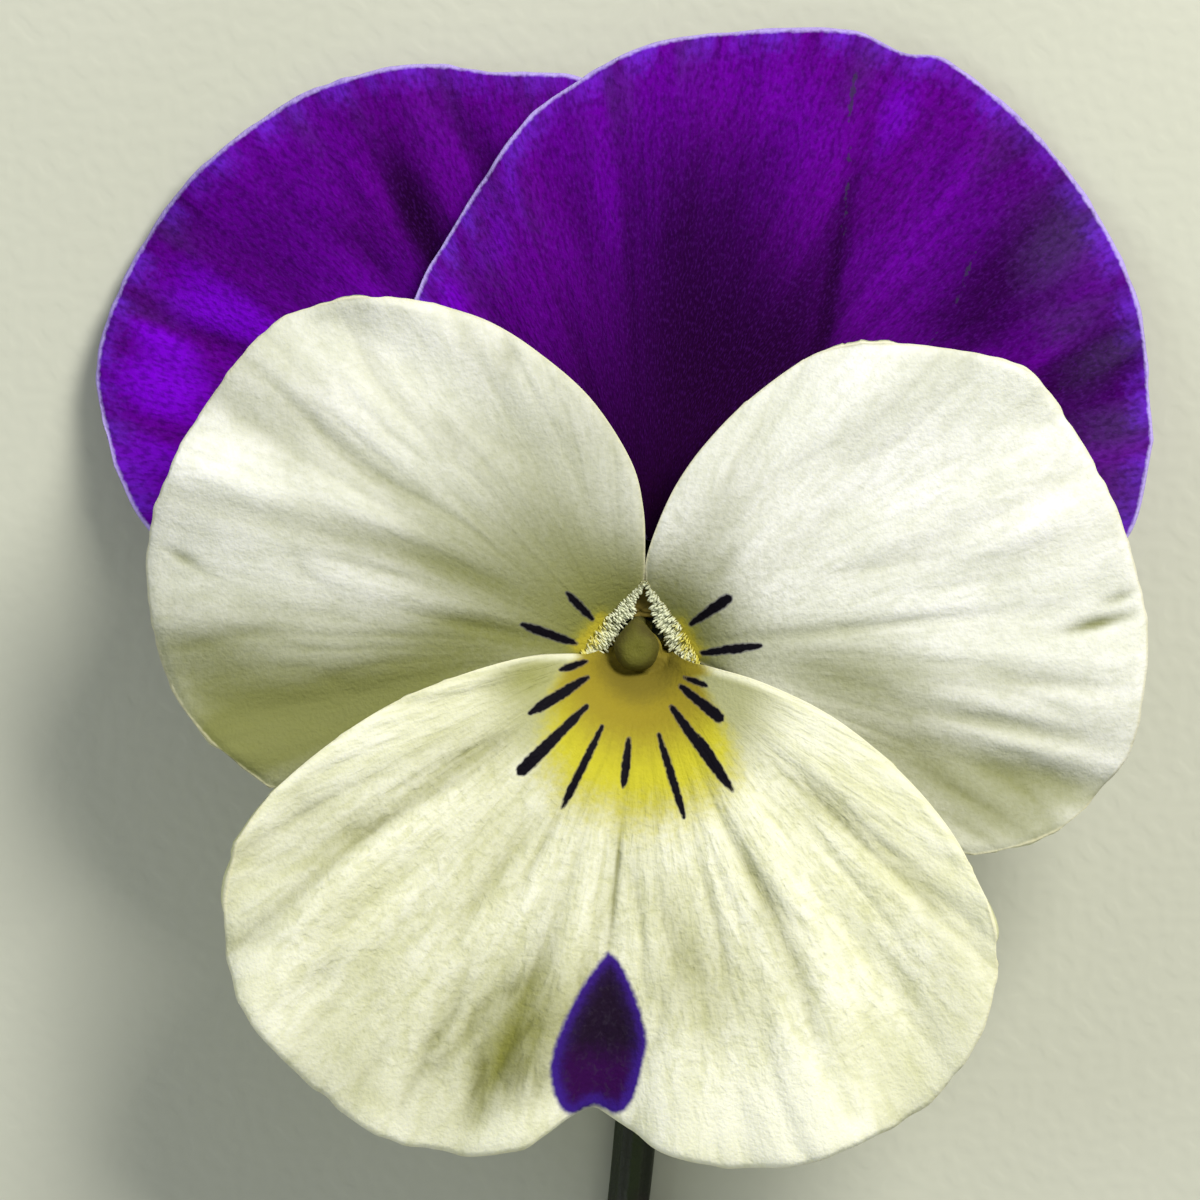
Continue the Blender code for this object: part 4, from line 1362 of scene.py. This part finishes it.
SIDE_RIGHT = SidePetal(
    "side_right_cream_petal", "petal_side_right",
    left_edge=((0.19, 2.25), (0.22, 3.0), (0.62, 4.2), (1.25, 5.5), (2.2, 6.8), (3.6, 8.2), (5.6, 9.6),
               (7.2, 10.0)),
    margin=(
        (7.2, 10.0), (9.4, 9.9), (11.9, 9.4), (13.3, 8.4), (15.4, 4.9), (16.5, 1.3), (16.5, -1.0), (16.1, -3.1),
        (15.3, -4.4), (14.0, -5.7), (12.4, -6.4), (10.9, -6.7)),
    right_edge=((1.55, -0.25), (3.0, -1.0), (4.2, -2.4), (5.8, -4.5), (8.1, -6.2), (10.9, -6.7)),
    claw=((1.6, 1.75, 4.6), (1.45, 1.6, 6.85)), waves=((2, 0.22, 0.05), (4, 0.16, 0.5)), seed=22, curl=0.5,
    wrinkle=0.08,
    whiskers=(Whisker((1.66, 0.82), (2.92, 1.7), 0.3, True), Whisker((2.05, -0.12), (3.95, 0.14), 0.27)),
    eye_line=((1.85, -0.1), (1.3, 0.8)), shade=0.08, focus=(0.3, -0.2), heading=15.0,
    folds=folds(
        (2.3, 3.8, 62, 2.8, 1.2, 0.0, 0.3), (2.8, 2.75, 50, 0.7, 0.3, 0.06, 0.2),
        (7.9, -3.2, -42, 5.0, 1.7, 0.1, 0.38), (7.0, -0.6, -8, 5.0, 1.2, 0.05, 0.26),
        (13.4, -4.3, -17, 3.0, 0.8, 0.3, 0.42), (12.9, -3.2, -15, 2.8, 0.4, -0.14, -0.14),
        (12.0, -2.45, -10, 2.6, 0.35, 0.2, 0.34), (13.4, -1.05, -6, 2.3, 0.32, 0.16, 0.28),
        (14.9, 0.85, 14, 1.1, 0.2, 0.2, 0.7), (15.6, 1.7, 20, 0.6, 0.16, 0.12, 0.4),
        (11.9, -5.6, -22, 3.4, 1.6, 0.0, 0.44), (7.4, 0.75, 6, 4.0, 0.22, 0.12, 0.2),
        (9.4, 3.5, 22, 3.4, 0.4, 0.12, 0.16), (5.0, 3.3, 38, 2.6, 0.5, 0.1, 0.16),
        (12.6, 3.9, 22, 2.6, 0.5, -0.14, -0.1), (13.6, 5.6, 32, 2.0, 0.4, 0.12, 0.14)))

LOWER = LowerPetal(
    "lower_petal_with_spur", "petal_lower",
    left_edge=((-0.05, 0.52), (0.6, 0.35), (1.1, -0.08), (1.6, -0.4), (2.3, -0.55), (4.1, -1.1), (6.3, -2.2),
               (8.4, -3.9), (10.1, -5.9), (11.2, -8.0)),
    margin=(
        (11.2, -8.0), (11.6, -9.9), (11.2, -12.2), (10.0, -14.2), (7.8, -15.8), (5.2, -16.8), (2.9, -16.9),
        (0.8, -16.45), (-0.65, -15.4), (-1.5, -14.92), (-2.3, -15.3), (-3.7, -16.2), (-5.5, -16.5),
        (-7.0, -16.3), (-8.4, -15.8), (-9.7, -15.0), (-11.0, -13.9), (-12.7, -12.0), (-13.4, -10.1),
        (-13.5, -8.3), (-13.1, -6.3)),
    right_edge=((-0.05, 0.52), (-0.7, 0.4), (-1.2, 0.05), (-1.7, -0.14), (-2.3, -0.12), (-3.6, -0.2), (-5.5, -0.7),
                (-7.8, -1.6), (-9.9, -2.9), (-11.9, -4.6), (-13.1, -6.3)),
    claw=((0.0, 0.75, 4.6), (0.0, 0.62, 5.9)), waves=((4, 0.2, 0.0), (7, 0.16, 0.3)), seed=31, curl=1.1,
    crimp=0.085, columns=236, rows=200, finish=LEMON_CREAM, slot=Slot.LOWER_PETAL, claw_eye=0.2, shade=0.13,
    whiskers=(Whisker((-1.75, -0.39), (-2.6, -0.65), 0.22), Whisker((-1.72, -0.91), (-3.57, -2.05), 0.33),
              Whisker((-1.72, -1.82), (-3.9, -3.97), 0.36, True), Whisker((-1.23, -2.5), (-2.53, -5.13), 0.25),
              Whisker((-0.36, -2.89), (-0.55, -4.45), 0.26), Whisker((0.62, -2.76), (1.43, -5.43), 0.25),
              Whisker((1.04, -1.88), (2.99, -4.55), 0.34), Whisker((1.9, -2.8), (2.72, -4.1), 0.26),
              Whisker((1.3, -1.17), (2.63, -2.24), 0.32, True), Whisker((1.46, -0.91), (2.18, -1.17), 0.18)),
    folds=folds(
        (-4.3, -12.4, 60, 2.9, 1.8, 0.05, 0.4), (-5.9, -11.3, 50, 2.8, 0.5, 0.1, 0.14),
        (-4.6, -13.3, 66, 1.6, 0.24, 0.05, 0.1), (-2.9, -12.6, 66, 2.4, 0.9, 0.0, 0.16),
        (-5.4, -14.2, 70, 1.6, 0.25, 0.07, 0.16), (-5.2, -11.7, 54, 1.5, 0.2, 0.06, 0.12),
        (-3.6, -13.2, 74, 1.3, 0.18, 0.05, 0.12), (-3.5, -10.8, 62, 1.4, 0.2, 0.05, 0.1),
        (-6.0, -13.0, 44, 1.5, 0.22, 0.06, 0.12), (1.9, -11.2, 100, 2.6, 1.0, 0.08, 0.15),
        (4.3, -8.2, -57, 3.0, 0.9, 0.04, 0.14), (4.9, -8.7, -50, 1.6, 0.22, 0.07, 0.12),
        (3.4, -6.8, -62, 1.5, 0.2, 0.05, 0.1), (6.4, -5.2, -32, 2.8, 0.6, 0.1, 0.2),
        (2.2, -7.8, -77, 3.0, 0.14, 0.06, 0.18), (-3.5, -7.0, 64, 2.4, 0.18, 0.08, 0.2),
        (-5.4, -8.2, 52, 3.0, 0.5, 0.16, 0.2), (-8.4, -8.0, 36, 3.2, 0.5, 0.16, 0.18),
        (-9.4, -6.0, 26, 3.0, 0.45, 0.14, 0.16), (-5.6, -3.6, 30, 2.8, 0.5, 0.12, 0.18),
        (-10.2, -10.6, 42, 2.4, 0.45, 0.16, 0.16), (-7.0, -13.8, 20, 3.2, 1.6, 0.05, 0.24),
        (5.4, -12.0, -64, 2.6, 0.5, 0.12, 0.12), (7.8, -10.2, -52, 2.6, 0.5, 0.12, 0.14),
        (9.0, -7.6, -40, 2.2, 0.45, 0.14, 0.16), (3.8, -15.4, 0, 4.5, 2.2, 0.0, -0.5),
        (-3.7, -0.8, 14, 1.3, 0.6, 0.0, 0.42), (-0.74, -7.1, 84.8, 2.5, 0.08, 0.04, 0.24),
        (-10.6, -8.0, 80, 3.5, 2.0, 0.0, 0.16), (-6.4, -3.8, 30, 3.0, 1.2, 0.0, 0.12),
        (-4.4, -15.9, 14, 2.4, 0.6, 0.0, -0.4), (-0.6, -7.6, 86, 3.2, 0.7, 0.04, 0.06)),
    blotch=((-1.04, -9.8), (-1.5, -10.4), (-1.95, -11.08), (-2.53, -12.25), (-2.86, -13.3), (-2.87, -14.0),
            (-2.65, -14.75), (-2.3, -15.1), (-1.95, -15.05), (-1.5, -14.84), (-1.1, -15.0), (-0.8, -15.12),
            (-0.45, -14.95), (-0.15, -14.4), (0.12, -13.26), (0.2, -12.7), (0.02, -11.8), (-0.36, -10.75),
            (-0.72, -10.1)))


@dataclass
class Beard:
    """The band of club-shaped hairs along the inner end of a side petal."""

    name: str
    petal: SidePetal
    throatward: Point
    low_at_end: bool
    seed: int
    hairs: int = 430
    length: float = 0.48
    radius: float = 0.029
    band: Point = (0.1, 0.66)       # its width at its upper and its lower end
    crowding: float = 0.75          # below 1, hairs crowd to the lower end
    scatter: float = 0.2
    droop: Spot = (0.0, -0.03, -0.1)
    root_depth: float = 0.03

    SIDES = 6
    CLUB = ((0.45, 0.8), (0.3, 1.6), (0.17, 1.05), (0.08, 0.55))    # rise and spread of each ring
    LOWNESS = (0.0, 0.2, 0.45, 1.0)     # places from the band's upper to its lower end,
    TALLNESS = (0.16, 0.5, 1.0, 0.9)    # and how long hairs are there, as a share of the length
    OUTER_LOSS = 0.55                   # how much shorter the outermost hairs are, as a share
    LENGTHS, WIDTHS, YELLOWS = (0.65, 1.15), (0.8, 1.2), (0.5, 1.2)     # shares between which hairs differ

    def build_hair(self) -> tuple[Array, list[tuple[int, ...]]]:
        """Models one hair, a club of unit length that stands on the origin.

        Returns:
            Its points and its faces.
        """
        bpy.ops.object.select_all(action="DESELECT")
        bpy.ops.mesh.primitive_circle_add(vertices=self.SIDES, radius=0.8, fill_type="NGON")
        hair = bpy.context.object
        bpy.ops.object.mode_set(mode="EDIT")
        bpy.ops.mesh.select_all(action="SELECT")
        bpy.ops.mesh.flip_normals()
        for rise, spread in self.CLUB:
            bpy.ops.mesh.extrude_region_move(TRANSFORM_OT_translate={"value": (0.0, 0.0, rise)})
            bpy.ops.transform.resize(value=(spread, spread, 1.0))
        bpy.ops.mesh.select_all(action="SELECT")
        bpy.ops.mesh.normals_make_consistent(inside=False)
        bpy.ops.object.mode_set(mode="OBJECT")
        points = np.array([vertex.co for vertex in hair.data.vertices])
        faces = [tuple(face.vertices) for face in hair.data.polygons]
        bpy.data.objects.remove(hair, do_unlink=True)
        return points, faces

    def build(self) -> Piece:
        """Plants the hairs on the petal and dresses them.

        Returns:
            The finished piece.
        """
        template, faces = self.build_hair()
        draw = np.random.default_rng(self.seed)
        low = draw.uniform(0.0, 1.0, self.hairs) ** self.crowding
        across = low if self.low_at_end else 1.0 - low
        outer = draw.uniform(0.0, 1.0, self.hairs) ** 1.2
        away = outer * (self.band[0] + (self.band[1] - self.band[0]) * low)
        roots = self.petal.surface(across, away / self.petal.reach)
        inward = np.append(np.array(self.throatward) / np.linalg.norm(self.throatward), 0.0)
        lean = (1.0 - 0.8 * outer * low)[:, None] * inward + (low ** 2)[:, None] * np.array([0.0, -0.8, 0.0])
        rising = np.outer(0.3 + 0.6 * outer, [0.0, 0.0, 1.0])
        heading = unit(lean + rising + draw.normal(0.0, self.scatter, (self.hairs, 3)))
        side = unit(np.cross(heading, [0.3, 0.2, 1.0]))
        other = np.cross(heading, side)
        size = self.length * np.interp(low, self.LOWNESS, self.TALLNESS)
        size *= (1.0 - self.OUTER_LOSS * outer) * draw.uniform(*self.LENGTHS, self.hairs)
        thick = self.radius * draw.uniform(*self.WIDTHS, self.hairs)
        rise = template[:, 2]
        points = (roots[:, None] + (size[:, None] * rise)[..., None] * heading[:, None]
                  + (thick[:, None] * template[:, 0])[..., None] * side[:, None]
                  + (thick[:, None] * template[:, 1])[..., None] * other[:, None]
                  + (rise ** 2)[None, :, None] * np.array(self.droop))
        points[:, :, 2] -= self.root_depth
        count = len(template)
        mesh = bpy.data.meshes.new(self.name)
        mesh.from_pydata((points.reshape(-1, 3) * MM).tolist(), [],
                         [tuple(index + hair * count for index in face)
                          for hair in range(self.hairs) for face in faces])
        piece = bpy.data.objects.new(self.name, mesh)
        bpy.context.scene.collection.objects.link(piece)
        yellow = smoothstep(0.3, 0.8, low) * (0.15 + 0.95 * outer) * draw.uniform(*self.YELLOWS, self.hairs)
        keep_measures(piece, {EYE: np.repeat(yellow, count), THROAT: np.tile(rise, self.hairs)})
        turn_outwards(piece)
        finish_piece(piece, BEARD_WHITE, Slot.CREAM_PETAL)
        return piece


@dataclass
class Pistil:
    """Ovary, bent style and the hollow stigma head in the middle of the throat."""

    foot: Spot = (0.0, 2.0, 4.9)
    head: Spot = (-0.1, 0.05, 7.1)
    head_radius: float = 0.74
    opening: Spot = (0.02, -0.12, 1.0)
    hollow: Point = (0.16, 0.34)    # depth as a share of the radius, and width in radians
    lip: Spot = (0.02, 0.66, 0.16)  # height as a share of the radius, and turn and width in radians
    flatness: float = 0.62
    neck: float = 0.3               # how far the head narrows and stretches to the style
    bend: Point = (5.8, 6.9)        # heights between which the style bends
    ovary_radius: float = 0.36
    ovary_half_height: float = 0.75
    style: Spot = (0.17, 0.1, 0.08)     # its radius, and what it gains half-way and near the head

    def build_head(self) -> Piece:
        """Builds the stigma head: pear-shaped, with a lipped hollow that looks out of the throat.

        Returns:
            The piece.
        """
        ball, points = ball_piece(64, 48)
        axis = np.array(self.opening) / np.linalg.norm(self.opening)
        turn = np.arccos(np.clip(points @ axis, -1.0, 1.0))
        depth, width = self.hollow
        lip_height, lip_turn, lip_width = self.lip
        radius = (1.0 - depth * np.exp(-(turn / width) ** 2)
                  + lip_height * np.exp(-((turn - lip_turn) / lip_width) ** 2))
        radius *= 1.0 + 0.015 * np.sin(5 * np.arctan2(points[:, 1], points[:, 0])) * np.sin(turn) ** 2
        neck = self.neck * np.maximum(points[:, 1], 0.0) ** 2
        stretch = np.column_stack([1.0 - neck, 1.04 + neck, np.full(len(points), self.flatness)])
        move_points(ball, points * (self.head_radius * radius)[:, None] * stretch + np.array(self.head))
        keep_measures(ball, {EYE: turn, BACK: 0.3 * smoothstep(1.3, 2.0, turn)})
        return ball

    def build(self) -> Piece:
        """Builds the whole pistil and dresses it.

        Returns:
            The finished piece.
        """
        height = np.linspace(0.0, 1.0, 49)
        foot, head = np.array(self.foot), np.array(self.head)
        z = foot[2] + (head[2] - foot[2]) * height
        bend = smoothstep(*self.bend, z)[:, None]
        line = np.column_stack([foot[:2] * (1 - bend) + head[:2] * bend, z])
        ovary = self.ovary_radius * np.sqrt(np.clip(1 - ((z - foot[2]) / self.ovary_half_height - 1) ** 2, 0.0, 1.0))
        thin, middle_gain, upper_gain = self.style
        radius = thin + middle_gain * smoothstep(0.5, 0.7, height) + upper_gain * smoothstep(0.7, 0.9, height)
        size = np.maximum(ovary, radius * smoothstep(0.0, 0.04, height) * smoothstep(1.0, 0.97, height))
        style = tube_piece("pistil_of_ovary_style_and_stigma", line, np.column_stack([size, size]), 24,
                           {BACK: 1.0 - 0.6 * smoothstep(5.6, 6.1, z)})
        keep_measures(style, {EYE: FAR_INSIDE})
        join_pieces(style, [self.build_head()])
        finish_piece(style, PISTIL_OLIVE, Slot.PISTIL, ["pistil"])
        return style


@dataclass
class Anthers:
    """Five anthers that stand side by side in a cone round the ovary, each with a thin brown scale."""

    centre: Point = (0.0, 2.0)
    foot: float = 4.9
    ring: float = 0.64
    height: float = 1.72
    tips_meet: Point = (0.05, 0.95)
    sac: Point = (0.26, 0.24)       # half width and half depth
    sac_reach: float = 0.7          # how far up the sac ends, as a share of the height
    scale: Point = (0.4, 0.1)       # half width and half depth of the scale at the tip

    COUNT = 5
    AROUND = 28
    SCALE_RISE = (0.5, 0.62, 0.95, 1.0)     # heights on the brown scale as shares of the anther's,
    SCALE_SPREAD = (0.0, 0.95, 0.9, 0.0)    # and how wide it is there

    def build(self) -> Piece:
        """Models one anther, copies it round the ovary and dresses the ring.

        Returns:
            The finished piece.
        """
        made = []
        share = np.linspace(0.0, 1.0, 33)
        for index in range(self.COUNT):
            heading = math.pi / 2 + 2 * math.pi * index / self.COUNT
            outward = np.array([math.cos(heading), math.sin(heading)])
            bend = 0.8 * smoothstep(0.6, 1.05, share)[:, None]
            stand = np.array(self.centre) + outward * (self.ring - 0.1 * share ** 2)[:, None]
            line = np.column_stack([stand * (1 - bend) + np.array(self.tips_meet) * bend,
                                    self.foot + self.height * share])
            body = np.sqrt(np.clip(1 - (2 * share / self.sac_reach - 1) ** 2, 0.0, 1.0)) * (share < self.sac_reach)
            scale = np.interp(share, self.SCALE_RISE, self.SCALE_SPREAD)
            angle = 2 * math.pi * np.arange(self.AROUND) / self.AROUND
            lobes = 0.82 + 0.18 * np.abs(np.sin(angle + heading))
            size = [np.maximum(body[:, None] * sac * lobes, scale[:, None] * tip)
                    for sac, tip in zip(self.sac, self.scale)]
            made.append(tube_piece(f"anther_{index}", line, np.stack(size, axis=-1), self.AROUND, {EYE: share}))
        ring = made[0]
        ring.name = "ring_of_five_anthers"
        join_pieces(ring, made[1:])
        finish_piece(ring, ANTHER_TAN, Slot.ANTHER, ["anther_cone"])
        return ring


@dataclass
class Calyx:
    """Five narrow pointed sepals, each with a blunt flap behind the receptacle."""

    middle: Spot = (0.0, 2.0, 3.8)
    seat: float = 2.4
    length: float = 8.5
    width: float = 2.3
    flap: float = 1.9
    thickness: float = 0.3
    sepals: tuple[tuple[str, float, float, float], ...] = (
        ("sepal_top", 93.0, 3.95, 2.3), ("sepal_side_left", 158.0, 3.95, 3.2), ("sepal_side_right", 24.0, 4.1, 3.4),
        ("sepal_low_left", 222.0, 4.6, 6.0), ("sepal_low_right", -42.0, 4.6, 6.0))

    FLAP_WIDTH = 0.62               # as a share of the blade's
    TIP_LOSS = 0.94                 # how much of its width the blade loses to its tip
    END_LOSS = 0.7                  # how much the flap's rounded end loses
    FOLD_UP, GROOVE = 0.16, 0.1     # how much the margins rise, and how deep the groove along the middle is

    def build(self) -> list[Piece]:
        """Builds the sepals and dresses them.

        Returns:
            The five finished pieces.
        """
        return [self.build_sepal(index, *sepal) for index, sepal in enumerate(self.sepals)]

    def build_sepal(self, index: int, node: str, direction: float, bend: float, tip: float) -> Piece:
        """Builds one sepal.

        Args:
            index: which one it is, for its own small waves.
            node: the solid that it stands for.
            direction: where it points round the receptacle, in degrees.
            bend: its height where it bends out.
            tip: the height of its tip.

        Returns:
            The finished piece.
        """
        heading = math.radians(direction)
        outward = np.array([math.cos(heading), math.sin(heading), 0.0])
        sideways = np.array([outward[1], -outward[0], 0.0])
        seat = self.middle[2]
        line = SmoothLine(((self.seat + 0.6, seat - self.flap), (self.seat + 0.1, seat - 0.9),
                           (self.seat, seat - 0.25), (self.seat + 0.9, bend),
                           (self.seat + 4.0, 0.6 * bend + 0.4 * tip), (self.seat + self.length - 1.5, tip)))
        piece, across, along = grid_piece("green_" + node, 28, 110)
        radial, height = line.at(along).T
        flap = self.FLAP_WIDTH + (1 - self.FLAP_WIDTH) * smoothstep(0.1, 0.25, along)
        taper = ((1.0 - smoothstep(0.35, 1.0, along) ** 1.2 * self.TIP_LOSS) * flap
                 * (1 - self.END_LOSS * smoothstep(0.05, 0.0, along)))
        half = 2 * (across - 0.5)
        offset = 0.5 * half * self.width * taper
        keel = self.FOLD_UP * np.abs(half) ** 1.5 - self.GROOVE * np.exp(-(half / 0.12) ** 2)
        wave = 0.06 * wavy(across * 2, along * 9, 50 + index) + 0.02 * wavy(across * 9, along * 22, 60 + index)
        points = (np.array([*self.middle[:2], 0.0]) + outward * radial[:, None] + sideways * offset[:, None]
                  + np.array([0.0, 0.0, 1.0]) * (height + (keel + wave) * taper)[:, None])
        move_points(piece, points)
        keep_fan(piece, across, along)
        reach = line.length * np.minimum(along, 1 - along)
        keep_measures(piece, {EDGE: np.minimum(0.5 * self.width * taper - np.abs(offset), reach)})
        apply_modifier(piece, "SOLIDIFY", thickness=self.thickness * MM, offset=-1.0, use_rim=True)
        finish_piece(piece, SEPAL_GREEN, Slot.GREEN_SEPAL, [node])
        return piece


@dataclass
class Stalk:
    """The ribbed stalk that lies on the surface, its hook, the receptacle and two small bracts."""

    radius: float = 0.68
    axis_height: float = 0.66
    route: Outline = ((0.9, -48.0), (0.4, -41.0), (-0.7, -33.0), (-0.9, -25.0), (-0.15, -17.0), (0.45, -10.0),
                      (0.75, -5.0), (0.4, -1.5), (0.05, -0.64), (0.0, 0.36))
    hook_radius: float = 2.0
    hook_turn: float = 125.0
    receptacle: Spot = (0.0, 2.0, 3.8)
    receptacle_radius: float = 2.08
    receptacle_half_height: float = 0.8
    bract_place: Point = (-0.9, -28.0)
    bract_length: float = 4.5
    bract_size: Point = (0.46, 0.2)
    ribs: Point = (0.045, 0.02)     # heights of the five ribs and of the fine ones between them
    twist: float = 1.5              # turn of the ribs from the cut to the hook, in radians
    cut_bulge: Point = (0.03, 0.02)     # how far the middle of the cut stands out, and falls off to its rim

    AROUND = 40
    RIBS = (5, 11)                  # how many main ribs and fine ones
    LOBES = (5, 93.0)               # lobes of the receptacle, and the direction of the first one in degrees

    def middle_line(self) -> Array:
        """Works out the stalk's middle line: along the surface, then up and over.

        Returns:
            Its points, one row each.
        """
        lying = SmoothLine(self.route).at(np.linspace(0.0, 1.0, 420))
        turn = np.radians(self.hook_turn) * np.arange(1, 61) / 60
        end = self.route[-1]
        hook = np.column_stack([np.full(60, end[0]), end[1] + self.hook_radius * np.sin(turn),
                                self.axis_height + self.hook_radius * (1 - np.cos(turn))])
        return np.vstack([np.column_stack([lying, np.full(len(lying), self.axis_height)]), hook])

    def build_stem(self) -> Piece:
        """Builds the ribbed tube, closed at its cut end.

        Returns:
            The piece.
        """
        line = self.middle_line()
        cut = np.linspace(0.0, 1.0, 9)[:-1]
        out, fall = self.cut_bulge
        cut_face = (np.repeat(line[:1], len(cut), axis=0) + np.array([[0.0, 1.0, 0.0]]) * (fall * cut ** 2)[:, None]
                    - np.array([[0.0, out, 0.0]]))
        line = np.vstack([cut_face, line])
        rows = len(line)
        angle = 2 * math.pi * np.arange(self.AROUND) / self.AROUND
        run = np.linspace(0.0, 1.0, rows)[:, None]
        twist = self.twist * run
        main, fine = self.RIBS
        ribs = self.ribs[0] * np.cos(main * (angle + twist)) + self.ribs[1] * np.cos(fine * (angle - 0.7 * twist))
        swell = 0.03 * wavy(run * 14, run * 0, 71)
        size = self.radius * (1 + swell) + ribs
        size[:len(cut)] *= cut[:, None]
        size[-6:] *= np.linspace(1.0, 0.0, 6)[:, None]
        pith = np.zeros(rows)
        pith[:len(cut)] = 0.1 + 0.5 * (1 - cut)
        return tube_piece("stalk_with_receptacle_and_bracts", line, np.stack([size, size], axis=-1), self.AROUND,
                          {EDGE: pith})

    def build_receptacle(self) -> Piece:
        """Builds the squat five-lobed end of the stalk.

        Returns:
            The piece.
        """
        knob, points = ball_piece(80, 40)
        turn = np.arctan2(points[:, 1], points[:, 0])
        away = np.hypot(points[:, 0], points[:, 1])
        count, first = self.LOBES
        lobe = 1.0 - 0.035 * (1 - np.cos(count * (turn - math.radians(first)))) * away ** 2
        rough = 1.0 + 0.02 * wavy(turn * 8 / math.pi + 30, points[:, 2] * 5 + 20, 75) * (away > 0.2)
        size = np.array([self.receptacle_radius, self.receptacle_radius, self.receptacle_half_height])
        move_points(knob, points * size * (lobe * rough)[:, None] + np.array(self.receptacle))
        keep_fan(knob, turn / (2 * math.pi), points[:, 2])
        keep_measures(knob, {EDGE: 0.0})
        return knob

    def build_bract(self, side: float) -> Piece:
        """Builds one of the two small bracts, a pointed scale that leans away from the stalk.

        Args:
            side: -1 for the left one, 1 for the right one.

        Returns:
            The piece.
        """
        share = np.linspace(0.0, 1.0, 41)
        reach = self.bract_length * share
        line = np.column_stack([self.bract_place[0] + side * (0.35 + 0.16 * reach + 0.05 * reach ** 2),
                                self.bract_place[1] + side * 0.5 + reach, self.axis_height + 0.05 * reach])
        taper = np.sqrt(np.clip(1 - (2 * np.minimum(share, 0.5) - 1) ** 8, 0.0, 1.0)) * (1 - share) ** 0.8
        return tube_piece("bract", line, np.outer(taper, self.bract_size), 20, {EDGE: np.zeros(41)})

    def build(self) -> Piece:
        """Builds the whole stalk and dresses it.

        Returns:
            The finished piece.
        """
        stem = self.build_stem()
        join_pieces(stem, [self.build_receptacle(), self.build_bract(-1.0), self.build_bract(1.0)])
        points = read_points(stem)
        points[:, 2] = np.maximum(points[:, 2], 0.0)
        stem.data.vertices.foreach_set("co", points.ravel())
        stem.data.update()
        finish_piece(stem, STALK_GREEN, Slot.GREEN_STEM, ["stem"])
        return stem


@dataclass
class Studio:
    """Pale floor, soft lights and the camera that looks straight down."""

    floor_size: float = 3.0
    focus_height: float = 9.0
    camera_above: float = 217.0
    lens: float = 200.0
    sensor: float = 36.0
    clip: Point = (0.01, 20.0)      # metres
    view_centre: Point = (-1.3, 1.625)
    room: tuple[str, float] = ("#eef0ea", 0.3)
    lights: tuple[tuple[str, Spot, float, float, str], ...] = (
        ("key_softbox", (120.0, 150.0, 190.0), 120.0, 0.8, "#fffaf2"),
        ("fill_softbox", (-200.0, 40.0, 170.0), 160.0, 0.16, "#f2f7ff"),
        ("low_softbox", (40.0, -220.0, 110.0), 120.0, 0.08, "#ffffff"))

    def build_floor(self) -> None:
        """Lays the pale matt floor."""
        bpy.ops.object.select_all(action="DESELECT")
        bpy.ops.mesh.primitive_plane_add(size=self.floor_size)
        floor = bpy.context.object
        floor.name = "pale_floor"
        floor.data.materials.append(BOARD.material())

    def build_lights(self) -> None:
        """Hangs the softboxes and sets the room's own light."""
        target = Vector((0.0, 0.0, self.focus_height * MM))
        for name, place, size, power, colour in self.lights:
            lamp = bpy.data.lights.new(name, "AREA")
            lamp.size = size * MM
            lamp.energy = power
            lamp.color = linear(colour)[:3]
            light = bpy.data.objects.new(name, lamp)
            light.location = Vector(place) * MM
            light.rotation_euler = (target - light.location).to_track_quat("-Z", "Y").to_euler()
            bpy.context.scene.collection.objects.link(light)
        world = bpy.data.worlds.new("room")
        world.use_nodes = True
        background = world.node_tree.nodes["Background"]
        background.inputs[0].default_value = linear(self.room[0])
        background.inputs[1].default_value = self.room[1]
        bpy.context.scene.world = world

    def build_camera(self) -> None:
        """Sets the camera at the photograph's angle, straight into the face."""
        camera = bpy.data.cameras.new("camera")
        camera.lens = self.lens
        camera.sensor_width = self.sensor
        camera.clip_start, camera.clip_end = self.clip
        rig = bpy.data.objects.new("camera", camera)
        rig.location = Vector((*self.view_centre, self.focus_height + self.camera_above)) * MM
        bpy.context.scene.collection.objects.link(rig)
        bpy.context.scene.camera = rig

    def build(self) -> None:
        """Builds floor, lights and camera."""
        self.build_floor()
        self.build_lights()
        self.build_camera()
        bpy.context.scene.view_settings.view_transform = "Standard"
        LOG.info("studio ready")


def write_sizes() -> None:
    """Brings the view layer up to date."""
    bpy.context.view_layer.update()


def main() -> None:
    """Builds the bloom's sub-assemblies and the studio, and reports each piece."""
    logging.basicConfig(level=logging.INFO, format="%(name)s: %(message)s")
    Stalk().build()
    Calyx().build()
    for petal in (UPPER_LEFT, UPPER_RIGHT, SIDE_LEFT, SIDE_RIGHT, LOWER):
        petal.build()
    Beard("beard_left", SIDE_LEFT, (1.0, -0.35), False, 81).build()
    Beard("beard_right", SIDE_RIGHT, (-1.0, -0.35), True, 82).build()
    Anthers().build()
    Pistil().build()
    Studio().build()
    write_sizes()


if __name__ == "__main__":
    main()
